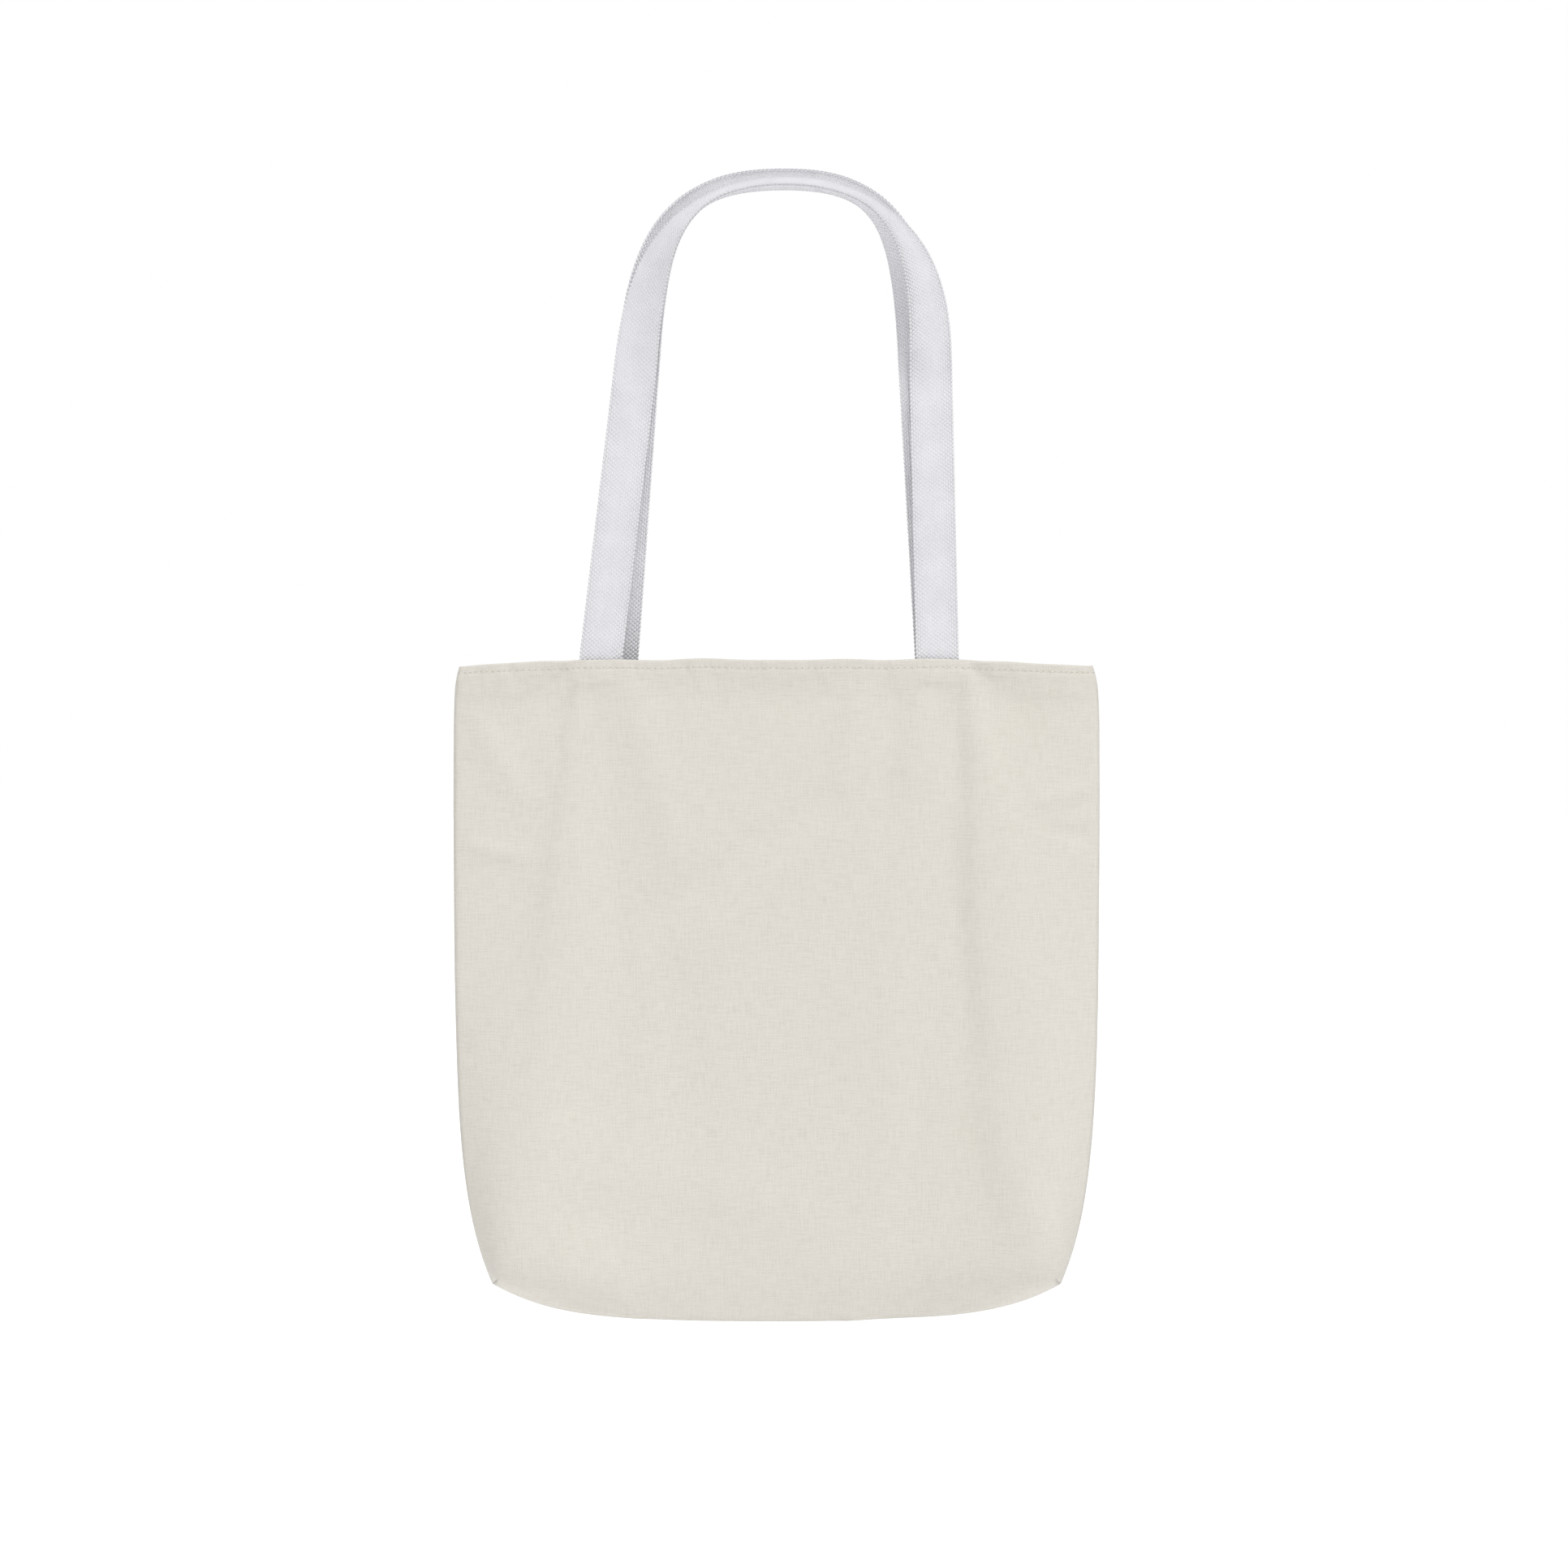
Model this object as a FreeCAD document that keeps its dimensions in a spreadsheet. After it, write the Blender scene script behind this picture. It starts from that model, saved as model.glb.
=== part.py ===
"""Canvas tote bag with boxed corners and two webbing handles.

The bag hangs upright by its handles. X runs across the bag, -Y is the front, +Z is up, and the
origin is the hang point: under the top of the front handle, on the bag's middle planes.
Every shape is worked out in a frame whose height is 0 at the top edge of the hem, and its
Placement then lowers it by the handle rise. Lengths are millimetres and angles are degrees.
"""

import FreeCAD, Part
import Sketcher
import math
import os

SIZES = [
    # the bag's body
    ("body_width", 400.0, "across, between the side seams"),
    ("body_height", 406.0, "from the hem's top edge to the bottom seam in the middle"),
    ("cloth", 0.7, "thickness of the canvas"),
    ("corner_box", 24.0, "side of the square that each boxed corner takes out"),
    ("side_run", 55.0, "how fast the gusset flattens going up a side seam"),
    ("keel_run", 42.0, "how fast the bottom flattens going in along the bottom seam"),
    ("mouth_open", 9.5, "how far the mouth's middle stands from the middle plane"),
    ("mouth_pull", 4.5, "how far the side seams pull in at the mouth"),
    ("pull_run", 18.0, "how fast that pull dies out downwards"),
    # seams and hem
    ("hem_depth", 8.0, "depth of the turned hem"),
    ("hem_fade", 16.0, "height over which the hem's bulk dies out below it"),
    ("hem_row", 5.0, "top edge down to the row of hem stitches"),
    ("allowance", 10.0, "width of a seam's turned-in edges"),
    ("overlock_width", 4.0, "width of the edge thread's wrap"),
    ("overlock_wall", 0.3, "thickness of that wrap"),
    ("stitch_pitch", 3.9, "from one stitch to the next"),
    ("stitch_length", 3.1, "seen length of a stitch"),
    ("stitch_gap", 0.3, "hem stitches clear of the cloth's outside"),
    ("thread", 0.5, "diameter of the sewing thread"),
    # handles
    ("strap_width", 26.0, "width of the webbing"),
    ("strap_thick", 1.6, "thickness of the webbing"),
    ("handle_rise", 286.0, "hem's top edge up to the underside of the front handle"),
    ("rear_lift", 5.0, "how much higher the rear handle's underside is"),
    ("front_left_foot", 107.0, "middle plane to the foot's centre line"),
    ("front_right_foot", 98.0, "the same, on the right"),
    ("rear_left_foot", 98.0, "the same, on the rear handle's left"),
    ("rear_right_foot", 98.0, "the same, on the rear handle's right"),
    ("front_left_lean", 22.0, "how far the leg leans in up to the knee"),
    ("front_right_lean", 4.0, "the same, on the right"),
    ("rear_left_lean", 14.0, "the same, on the rear handle's left"),
    ("rear_right_lean", 11.0, "the same, on the rear handle's right"),
    ("knee_height", 191.0, "height at which a leg turns into the arch"),
    ("top_offset", 5.0, "how far the arch's top is to the right of the middle"),
    ("top_turn", 71.0, "how far the webbing is turned on edge at the top"),
    ("tail_length", 13.0, "length of webbing sewn in below the hem's top edge"),
    ("tail_row_gap", 5.0, "from the tail's upper row of stitches to its lower one"),
    # clearances
    ("seam_gap", 0.12, "between pieces of cloth that lie on each other"),
    ("upstand", 0.7, "height of the bottom's edge above its fold, where the face stands on it"),
    ("upstand_inset", 0.1, "how far that edge keeps inside the thickness of the face"),
    ("fold_gap", 0.7, "seam line to the turned-in edges, and half of it to the thread"),
    ("handle_gap", 0.4, "handle to the middle plane between the handles"),
    ("hinge_gap", 1.3, "folded-over webbing to the outside of the hem, over its stitches"),
    ("foot_gap", 2.5, "top of the sewn tail to the free webbing"),
    ("end_gap", 10.0, "corner seam to the end of a side or bottom seam's allowance"),
]

doc = FreeCAD.newDocument("canvas_tote_bag")
sheet = doc.addObject("Spreadsheet::Sheet", "Sizes")
for number, (alias, value, note) in enumerate(SIZES, start=1):
    sheet.set(f"A{number}", note)
    sheet.set(f"B{number}", str(value))
    sheet.setAlias(f"B{number}", alias)
doc.recompute()

V = FreeCAD.Vector
AXIS_X = V(1, 0, 0)
AXIS_Y = V(0, 1, 0)
AXIS_Z = V(0, 0, 1)
NODES = []
SIDES = {"left": -1, "right": 1}


def size(alias):
    """The value of a cell of the sheet."""
    return float(sheet.get(alias))


def add_node(obj, label, base=AXIS_Z * 0):
    """Name a finished sub-part and lower it from the hem's frame to the hang point's."""
    obj.Label = label
    turn = obj.Placement.Rotation
    obj.Placement = FreeCAD.Placement(base, turn)
    obj.setExpression(".Placement.Base.z", f"{base.z:.6f} - Sizes.handle_rise")
    NODES.append(obj)
    return obj


def add_shape(shape, label):
    """A sub-part whose curved shape no sketch or primitive gives."""
    obj = doc.addObject("Part::Feature", label)
    obj.Shape = shape
    return add_node(obj, label)


# --- the bag's curved surface -------------------------------------------------------------

cloth = size("cloth")
box = size("corner_box")
fold_x = size("body_width") / 2 - box - cloth
fold_z = box + cloth - size("body_height")
seam_half = cloth + size("seam_gap")


def gusset_turn(rise):
    """Cosine and sine of the side gusset's turn, at a height above the corner seam."""
    flat = 1 - math.exp(-max(rise, 0) / size("side_run"))
    return flat, math.sqrt(1 - flat * flat)


def keel_turn(x):
    """Cosine and sine of the bottom's turn, at a distance from the middle plane."""
    run = size("keel_run")
    flat = 1 - math.cosh(min(abs(x), fold_x) / run) / math.cosh(fold_x / run)
    return flat, math.sqrt(1 - flat * flat)


def hem_bulk(z):
    """How far the hem's turned layers hold the two sides of the bag apart."""
    fade = (z + size("hem_depth") + size("hem_fade")) / size("hem_fade")
    return 2 * seam_half * min(max(fade, 0), 1)


def seam_x(z):
    """Inside of the side seam, from the middle plane."""
    flat, _ = gusset_turn(z - fold_z)
    return fold_x + box * flat - size("mouth_pull") * math.exp(z / size("pull_run"))


def bottom_z(x):
    """Inside of the bottom seam, at a distance from the middle plane."""
    return fold_z - box * keel_turn(x)[0]


def depth(x, z):
    """Middle plane to the inside of a panel's face, for |x| up to the gusset's fold."""
    rise = z - fold_z
    side_flat, side_deep = gusset_turn(rise)
    keel_flat, keel_deep = keel_turn(x)
    stack = seam_half * (1 - (1 - side_flat) * (1 - keel_flat)) + hem_bulk(z)
    swell = 1 - (1 - min(max(rise / -fold_z, 0), 1)) ** 3
    bulge = size("mouth_open") * swell * (1 - (x / seam_x(z)) ** 2)
    return size("seam_gap") + stack + box * side_deep * keel_deep + bulge


def mouth_depth(x):
    """Middle plane to the inside of a panel near the hem, out to the side seam."""
    if abs(x) <= fold_x:
        return depth(x, 0)
    share = (abs(x) - fold_x) / (seam_x(0) - fold_x)
    edge = size("seam_gap") + seam_half * gusset_turn(-fold_z)[0] + hem_bulk(0)
    return depth(fold_x, 0) * (1 - share) + edge * share


def steps(low, high, count):
    """Evenly spaced numbers from low to high."""
    return [low + (high - low) * i / (count - 1) for i in range(count)]


def curve(points):
    """One smooth edge through the points."""
    spline = Part.BSplineCurve()
    spline.interpolate(points)
    return spline.toShape()


def loop(*runs):
    """A closed wire: each run is a list of points, smooth if it has more than two."""
    edges = []
    for run, following in zip(runs, runs[1:] + runs[:1]):
        if len(run) > 2:
            edges.append(curve(run))
        elif len(run) == 2:
            edges.append(Part.makeLine(run[0], run[1]))
        edges.append(Part.makeLine(run[-1], following[0]))
    return Part.Wire(edges)


FACE_TURNS = steps(-math.pi / 2, math.pi / 2, 13)


def face_xs():
    """Places across a panel's face, closer together towards its folds."""
    return [fold_x * math.sin(turn) for turn in FACE_TURNS]


def level_section(z):
    """A panel's closed outline at one height: gusset, face, gusset, out and back."""
    flat, deep = gusset_turn(z - fold_z)
    seam_y = -(size("seam_gap") + seam_half * flat + hem_bulk(z))
    mitre = cloth * deep / (1 + flat)
    inner = [V(x, -depth(x, z), z) for x in face_xs()]
    outer = [V(x, -depth(x, z) - cloth, z) for x in face_xs()]
    outer[0].x -= mitre
    outer[-1].x += mitre
    corners = {}
    for name, side in SIDES.items():
        corners[name, "in"] = V(side * seam_x(z), seam_y, z)
        corners[name, "out"] = corners[name, "in"] + V(side * cloth * deep, -cloth * flat, 0)
    return loop(
        [corners["left", "out"]],
        outer,
        [corners["right", "out"]],
        [corners["right", "in"]],
        inner[::-1],
        [corners["left", "in"]],
    )


def keel_section(x):
    """The lower edge of a panel at one place across: an upstand, the fold and the bottom."""
    flat, deep = keel_turn(x)
    top = fold_z + size("upstand")
    inset = V(0, size("upstand_inset"), 0)
    fold = V(x, -depth(x, fold_z), fold_z)
    seam = V(x, -(size("seam_gap") + seam_half * flat), bottom_z(x))
    wall = V(x, -depth(x, top), top)
    mitre = V(0, -cloth, -cloth * deep / (1 + flat))
    points = [
        wall - inset,
        fold,
        seam,
        seam + V(0, -cloth * flat, -cloth * deep),
        fold + mitre,
        wall - V(0, cloth, 0) + inset,
    ]
    return Part.makePolygon(points + points[:1])


def panel_shape():
    """The front panel: its face and gussets, standing on its bottom."""
    drop = fold_z + size("upstand")
    hem_low = -size("hem_depth")
    levels = [drop, drop * 0.95, drop * 0.88, drop * 0.78, drop * 0.64, drop * 0.48, drop * 0.3]
    levels += [drop * 0.14, hem_low - size("hem_fade"), hem_low, 0]
    wall = Part.makeLoft([level_section(z) for z in levels], True, False)
    keel = Part.makeLoft([keel_section(x) for x in face_xs()], True, False)
    return wall.fuse(keel).Solids[0]


def to_rear(shape):
    """The same piece on the back of the bag: half a turn about the upright axis."""
    turned = shape.copy()
    turned.rotate(V(0, 0, 0), AXIS_Z, 180)
    return turned


panel = panel_shape()
add_shape(panel, "front_panel")
add_shape(to_rear(panel), "back_panel")

# --- hem ---------------------------------------------------------------------------------


def lining(near, far, left, right, low, high):
    """A strip that follows the inside of the front panel's mouth, near to far from it."""
    xs = steps(left, right, 9)
    front = [V(x, near - mouth_depth(x), low) for x in xs]
    rear = [V(x, far - mouth_depth(x), low) for x in xs]
    return Part.Face(loop(front, rear[::-1])).extrude(AXIS_Z * (high - low))


hem_near = size("seam_gap")
hem_far = hem_near + 2 * cloth
hem_end = seam_x(0) - size("fold_gap")
hem_turn = lining(hem_near, hem_far, -hem_end, hem_end, -size("hem_depth"), 0)
add_shape(hem_turn, "front_hem_turn")
add_shape(to_rear(hem_turn), "back_hem_turn")


def stitch(start, end):
    """One stitch: a short straight length of thread."""
    middle = (start + end) * 0.5
    along = (end - start).normalize()
    half = size("stitch_length") / 2
    return Part.makeCylinder(size("thread") / 2, 2 * half, middle - along * half, along)


def stitch_row(place, low, high):
    """Stitches along a row: place gives a point for a number between low and high."""
    count = int((high - low) / size("stitch_pitch"))
    pitch = (high - low) / count
    rows = [low + i * pitch for i in range(count + 1)]
    return Part.makeCompound([stitch(place(a), place(b)) for a, b in zip(rows, rows[1:])])


def hem_place(x):
    """A point of the hem's row of stitches, half a thread outside the cloth."""
    stand = cloth + size("thread") / 2 + size("stitch_gap")
    return V(x, -depth(x, -size("hem_row")) - stand, -size("hem_row"))


hem_row = stitch_row(hem_place, -fold_x, fold_x)
add_shape(hem_row, "front_hem_stitching")
add_shape(to_rear(hem_row), "back_hem_stitching")

# --- side and bottom seams ----------------------------------------------------------------


def flat_strip(points, inward, near, far, half):
    """A strip in the middle plane, near to far inwards from a line, half thick each way."""
    outer = [p + inward * near for p in points]
    inner = [p + inward * far for p in points]
    face = Part.Face(loop(outer, inner[::-1]))
    face.translate(V(0, -half, 0))
    return face.extrude(V(0, 2 * half, 0))


def turned_edges(points, inward, label):
    """A seam's turned-in edges and the overlock thread wrapped round their free edge."""
    near = size("fold_gap")
    far = size("allowance")
    wall = size("overlock_wall")
    edges = flat_strip(points, inward, near, far, cloth)
    wrap_near = far - size("overlock_width")
    wrap = flat_strip(points, inward, wrap_near, far + wall, cloth + wall)
    add_shape(edges, f"{label}_seam_allowance")
    add_shape(wrap.cut(flat_strip(points, inward, near, far, cloth)), f"{label}_overlock_thread")


seam_low = fold_z + size("end_gap")
seam_high = -cloth


def side_line(side, z):
    """A point of a side seam's inside."""
    return V(side * seam_x(z), 0, z)


def bottom_line(x):
    """A point of the bottom seam's inside."""
    return V(x, 0, bottom_z(x))


thread_in = size("fold_gap") / 2
for name, side in SIDES.items():
    inward = V(-side, 0, 0)
    zs = [seam_low, fold_z * 0.9, fold_z * 0.8, fold_z * 0.65, fold_z * 0.45, fold_z * 0.25]
    zs += [fold_z * 0.12, fold_z * 0.05, seam_high]
    turned_edges([side_line(side, z) for z in zs], inward, f"{name}_side")
    row = stitch_row(lambda z: side_line(side, z) + inward * thread_in, seam_low, seam_high)
    add_shape(row, f"{name}_side_seam_stitching")

keel_end = fold_x - size("end_gap")
keel_points = [bottom_line(keel_end * math.sin(turn)) for turn in FACE_TURNS]
turned_edges(keel_points, AXIS_Z, "bottom")
keel_row = stitch_row(lambda x: bottom_line(x) + AXIS_Z * thread_in, -keel_end, keel_end)
add_shape(keel_row, "bottom_seam_stitching")

# --- boxed corners ------------------------------------------------------------------------


def slant_box(name, side, sizes, start):
    """A box whose length points up and inwards at 45 degrees from a corner seam."""
    obj = doc.addObject("Part::Box", name)
    obj.setExpression("Length", sizes[0])
    obj.setExpression("Width", sizes[1])
    obj.setExpression("Height", sizes[2])
    doc.recompute()
    lean = FreeCAD.Rotation(AXIS_Y, -45 if side < 0 else -135)
    along = lean.multVec(AXIS_X)
    up = lean.multVec(AXIS_Z)
    centre = along * start - up * (obj.Height.Value / 2) - AXIS_Y * (obj.Width.Value / 2)
    obj.Placement = FreeCAD.Placement(centre + V(side * fold_x, 0, fold_z), lean)
    return obj


def corner_place(side, y):
    """A point of a corner seam's thread, clear of the two walls that meet there."""
    clear = size("fold_gap") / 2
    return V(side * (fold_x - clear), y, fold_z + clear)


edge_near = 2 * size("fold_gap")
for name, side in SIDES.items():
    edges = slant_box(
        f"{name}_corner_edges",
        side,
        ["Sizes.allowance", "2 * (Sizes.corner_box - 2 * Sizes.cloth)", "2 * Sizes.cloth"],
        edge_near,
    )
    hidden = slant_box(
        f"{name}_corner_hollow",
        side,
        ["Sizes.allowance", "2 * (Sizes.corner_box - 2 * Sizes.cloth)", "2 * Sizes.cloth"],
        edge_near,
    )
    wrap = slant_box(
        f"{name}_corner_wrap",
        side,
        [
            "Sizes.overlock_width + Sizes.overlock_wall",
            "2 * (Sizes.corner_box - 2 * Sizes.cloth)",
            "2 * (Sizes.cloth + Sizes.overlock_wall)",
        ],
        edge_near + size("allowance") - size("overlock_width"),
    )
    thread = doc.addObject("Part::Cut", f"{name}_corner_thread")
    thread.Base = wrap
    thread.Tool = hidden
    add_node(edges, f"{name}_corner_seam_allowance", edges.Placement.Base)
    add_node(thread, f"{name}_corner_overlock_thread")
    reach = box - 2 * cloth
    row = stitch_row(lambda y: corner_place(side, y), -reach, reach)
    add_shape(row, f"{name}_corner_seam_stitching")

# --- handles ------------------------------------------------------------------------------

half_width = size("strap_width") / 2
half_thick = size("strap_thick") / 2
tail_near = hem_far + size("seam_gap")
tail_far = tail_near + size("strap_thick")
foot_start = size("foot_gap")


def mouth_slope(x):
    """How the mouth's line turns away from the X direction at x, in degrees."""
    step = 1.0
    rise = mouth_depth(x - step) - mouth_depth(x + step)
    return math.degrees(math.atan2(rise, 2 * step))


def foot_y(x):
    """Where the middle of the front handle's webbing stands at its foot."""
    return (tail_near + tail_far) / 2 - mouth_depth(x)


def top_edges(angle):
    """How far the webbing's lowest edge and its rear edge are from its centre line."""
    turn = math.radians(angle)
    low = half_width * math.cos(turn) + half_thick * math.sin(turn)
    rear = half_width * math.sin(turn) + half_thick * math.cos(turn)
    return low, rear


def smooth(share):
    """0 to 1 with level ends."""
    share = min(max(share, 0), 1)
    return share * share * (3 - 2 * share)


def half_route(foot_x, lean, top):
    """One leg and half the arch: places, directions and turns, from the foot to the top."""
    way = 1 if foot_x < 0 else -1
    foot = V(foot_x, 0, foot_start)
    knee = V(foot_x + way * lean, 0, size("knee_height"))
    along = (knee - foot).normalize()
    first = knee + along * (0.70 * (top.z - knee.z))
    second = V(top.x - way * 0.62 * abs(top.x - knee.x), 0, top.z)
    stations = []
    for share in (0, 0.12, 0.35, 0.6, 0.82):
        stations.append((foot + (knee - foot) * share, along, (share - 1) * 1.8))
    for share in (0, 0.15, 0.3, 0.45, 0.6, 0.8, 1):
        rest = 1 - share
        place = knee * rest**3 + first * (3 * rest * rest * share)
        place += second * (3 * rest * share * share) + top * share**3
        pull = (first - knee) * rest**2 + (second - first) * (2 * rest * share)
        pull += (top - second) * share**2
        stations.append((place, V(pull).normalize(), share))
    return stations


def handle_stations(left_foot, left_lean, right_foot, right_lean, lift):
    """Every cross-section of a handle: its centre, and its width and thickness directions."""
    low, _ = top_edges(size("top_turn"))
    top = V(size("top_offset"), 0, size("handle_rise") + lift + low)
    frames = []
    for foot_x, lean, way in ((-left_foot, left_lean, 1), (right_foot, right_lean, -1)):
        half = []
        for place, along, share in half_route(foot_x, lean, top):
            angle = size("top_turn") * smooth((share + 0.25) / 0.95)
            _, rear = top_edges(angle)
            fade = 1 - smooth(place.z / size("knee_height"))
            free_y = -(size("handle_gap") + rear)
            foot_line = foot_y(foot_x)
            place = V(place.x, free_y + (foot_line - free_y) * fade, place.z)
            across = V(along.z, 0, -along.x) * way
            yaw = FreeCAD.Rotation(AXIS_Z, mouth_slope(foot_x) * fade)
            turn = math.radians(angle)
            width = yaw.multVec(across * math.cos(turn) - AXIS_Y * math.sin(turn)) * way
            half.append((place, width, width.cross(along * way).normalize()))
        frames.append(half)
    left, right = frames
    return left + right[-2::-1]


def handle_body(label, stations, mirror):
    """A handle: webbing lofted through sketches of its cross-section."""
    body = doc.addObject("PartDesign::Body", label)
    sketches = []
    for number, (place, width, thick) in enumerate(stations):
        if mirror:
            place = V(place.x, -place.y, place.z)
            width = V(width.x, -width.y, width.z)
            thick = V(thick.x, -thick.y, thick.z)
        normal = width.cross(thick)
        turn = FreeCAD.Rotation(width, thick, normal, "XYZ")
        sketch = body.newObject("Sketcher::SketchObject", f"{label}_section_{number:02d}")
        sketch.Placement = FreeCAD.Placement(place, turn)
        draw_section(sketch)
        sketches.append(sketch)
    loft = body.newObject("PartDesign::AdditiveLoft", f"{label}_loft")
    loft.Profile = sketches[0]
    loft.Sections = sketches[1:]
    loft.Ruled = False
    body.Tip = loft
    return add_node(body, label)


def draw_section(sketch):
    """A rectangle about the sketch's origin, as wide and thick as the webbing."""
    across = [(-1, -1), (1, -1), (1, 1), (-1, 1)]
    corners = [V(a * half_width, b * half_thick, 0) for a, b in across]
    for a, b in zip(corners, corners[1:] + corners[:1]):
        sketch.addGeometry(Part.LineSegment(a, b), False)
    for i in range(4):
        sketch.addConstraint(Sketcher.Constraint("Coincident", i, 2, (i + 1) % 4, 1))
    for i, kind in enumerate(("Horizontal", "Vertical", "Horizontal", "Vertical")):
        sketch.addConstraint(Sketcher.Constraint(kind, i))
    sketch.addConstraint(Sketcher.Constraint("Symmetric", 0, 1, 2, 1, -1, 1))
    wide = sketch.addConstraint(Sketcher.Constraint("DistanceX", 0, 1, 0, 2, 2 * half_width))
    thick = sketch.addConstraint(Sketcher.Constraint("DistanceY", 1, 1, 1, 2, 2 * half_thick))
    sketch.setExpression(f"Constraints[{wide}]", "Sizes.strap_width")
    sketch.setExpression(f"Constraints[{thick}]", "Sizes.strap_thick")


HANDLES = {"front": 0.0, "rear": size("rear_lift")}
for name, lift in HANDLES.items():
    feet = [size(f"{name}_{side}_{what}") for side in SIDES for what in ("foot", "lean")]
    handle_body(f"{name}_handle", handle_stations(*feet, lift), name == "rear")


def tail_place(foot_x, z):
    """Gives the points of a row of stitches on the inside of a tail, for places across it."""
    stand = tail_far + size("thread") / 2 + size("seam_gap")
    return lambda x: V(foot_x + x, stand - mouth_depth(foot_x + x), z)


for handle in HANDLES:
    for name, side in SIDES.items():
        way = -1 if handle == "rear" else 1
        foot_x = way * side * size(f"{handle}_{name}_foot")
        left = foot_x - half_width
        right = foot_x + half_width
        tail = lining(tail_near, tail_far, left, right, -size("tail_length"), 0)
        rows = []
        for z in (-size("hem_row"), -size("hem_row") - size("tail_row_gap")):
            reach = half_width - size("thread")
            rows.append(stitch_row(tail_place(foot_x, z), -reach, reach))
        rows = Part.makeCompound([s for row in rows for s in row.Solids])
        if handle == "rear":
            tail = to_rear(tail)
            rows = to_rear(rows)
        add_shape(tail, f"{handle}_{name}_handle_tail")
        add_shape(rows, f"{handle}_{name}_tail_stitching")

# --- check and write ----------------------------------------------------------------------

doc.recompute()
for obj in doc.Objects:
    if "Invalid" in obj.State or "Error" in obj.State:
        raise RuntimeError(f"{obj.Name} did not compute: {obj.State}")
for node in NODES:
    if node.Shape.isNull() or not node.Shape.isValid() or not node.Shape.Solids:
        raise RuntimeError(f"{node.Label} has no valid solid")
    if min(solid.Volume for solid in node.Shape.Solids) <= 0:
        raise RuntimeError(f"{node.Label} is inside out")

inner_foot = min(size(f"{handle}_{side}_foot") for handle in HANDLES for side in SIDES)
hinge_x = inner_foot - size("strap_width") / 2
hinge_y = (tail_near - cloth) / 2 - mouth_depth(hinge_x) - size("hinge_gap") / 2
print(f"hinge axis: y {hinge_y:.3f}, z {-size('handle_rise'):.3f}")

os.makedirs("parts", exist_ok=True)
for node in NODES:
    node.Shape.exportStep(f"parts/{node.Label}.step")
    bounds = node.Shape.BoundBox
    print(f"{node.Label}: {len(node.Shape.Solids)} solids, {node.Shape.Volume:.0f} mm3, {bounds}")
print(f"{len(NODES)} nodes")
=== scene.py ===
"""Canvas tote bag with boxed corners and two white webbing handles, dressed round its fixed frame.

Lengths are metres unless a name or a comment says millimetres. X runs across the bag, -Y is the
front, +Z is up, and the origin is the hang point under the handles.
"""

from __future__ import annotations

import logging
import math
from dataclasses import dataclass, field
from enum import Enum

import bmesh
import bpy
import numpy as np
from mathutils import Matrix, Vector

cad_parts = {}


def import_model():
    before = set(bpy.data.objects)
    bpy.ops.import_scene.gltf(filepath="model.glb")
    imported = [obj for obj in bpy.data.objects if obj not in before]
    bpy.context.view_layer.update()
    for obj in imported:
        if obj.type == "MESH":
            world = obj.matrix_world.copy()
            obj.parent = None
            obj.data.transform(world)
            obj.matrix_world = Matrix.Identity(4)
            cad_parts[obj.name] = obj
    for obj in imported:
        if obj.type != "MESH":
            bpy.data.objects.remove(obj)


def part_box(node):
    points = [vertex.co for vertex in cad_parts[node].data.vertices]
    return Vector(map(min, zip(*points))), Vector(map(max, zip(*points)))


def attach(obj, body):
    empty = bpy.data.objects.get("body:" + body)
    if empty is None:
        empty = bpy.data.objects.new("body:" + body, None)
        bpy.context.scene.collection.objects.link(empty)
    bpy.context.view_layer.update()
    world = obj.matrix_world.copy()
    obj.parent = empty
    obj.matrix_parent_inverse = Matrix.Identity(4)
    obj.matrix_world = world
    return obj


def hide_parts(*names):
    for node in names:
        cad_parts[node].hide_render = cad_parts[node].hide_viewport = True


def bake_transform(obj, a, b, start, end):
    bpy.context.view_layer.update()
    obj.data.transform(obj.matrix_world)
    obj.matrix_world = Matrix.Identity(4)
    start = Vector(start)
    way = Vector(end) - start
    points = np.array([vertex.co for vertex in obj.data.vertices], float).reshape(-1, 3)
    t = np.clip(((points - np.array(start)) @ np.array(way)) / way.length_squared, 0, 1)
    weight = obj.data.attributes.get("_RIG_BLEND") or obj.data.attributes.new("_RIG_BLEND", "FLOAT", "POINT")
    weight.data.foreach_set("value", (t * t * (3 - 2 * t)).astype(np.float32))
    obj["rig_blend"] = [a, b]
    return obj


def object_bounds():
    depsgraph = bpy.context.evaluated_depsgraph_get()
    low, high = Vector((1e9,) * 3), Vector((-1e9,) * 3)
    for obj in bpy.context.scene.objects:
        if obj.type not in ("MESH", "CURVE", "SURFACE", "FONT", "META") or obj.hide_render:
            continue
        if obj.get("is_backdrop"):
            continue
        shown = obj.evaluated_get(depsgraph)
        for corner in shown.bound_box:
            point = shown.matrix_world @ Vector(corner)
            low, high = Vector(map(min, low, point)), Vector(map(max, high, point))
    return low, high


LOG = logging.getLogger("tote_bag")
MM = 0.001
HAIR = 1e-9  # far less than any real gap, to compare places
VIEW_X = 4.5 * MM
VIEW_DROP = 76 * MM  # the view's middle, below the hem
FLOOR_DROP = 260 * MM  # the floor, below the hanging bag


class Side(Enum):
    """Which side of the bag a piece belongs to, with the sign of its Y."""

    FRONT = -1
    BACK = 1


class Seam(Enum):
    """The bag's seams, named as the frame names them."""

    LEFT_SIDE = "left_side"
    RIGHT_SIDE = "right_side"
    BOTTOM = "bottom"
    LEFT_CORNER = "left_corner"
    RIGHT_CORNER = "right_corner"


# --- small helpers ------------------------------------------------------------------------


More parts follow.
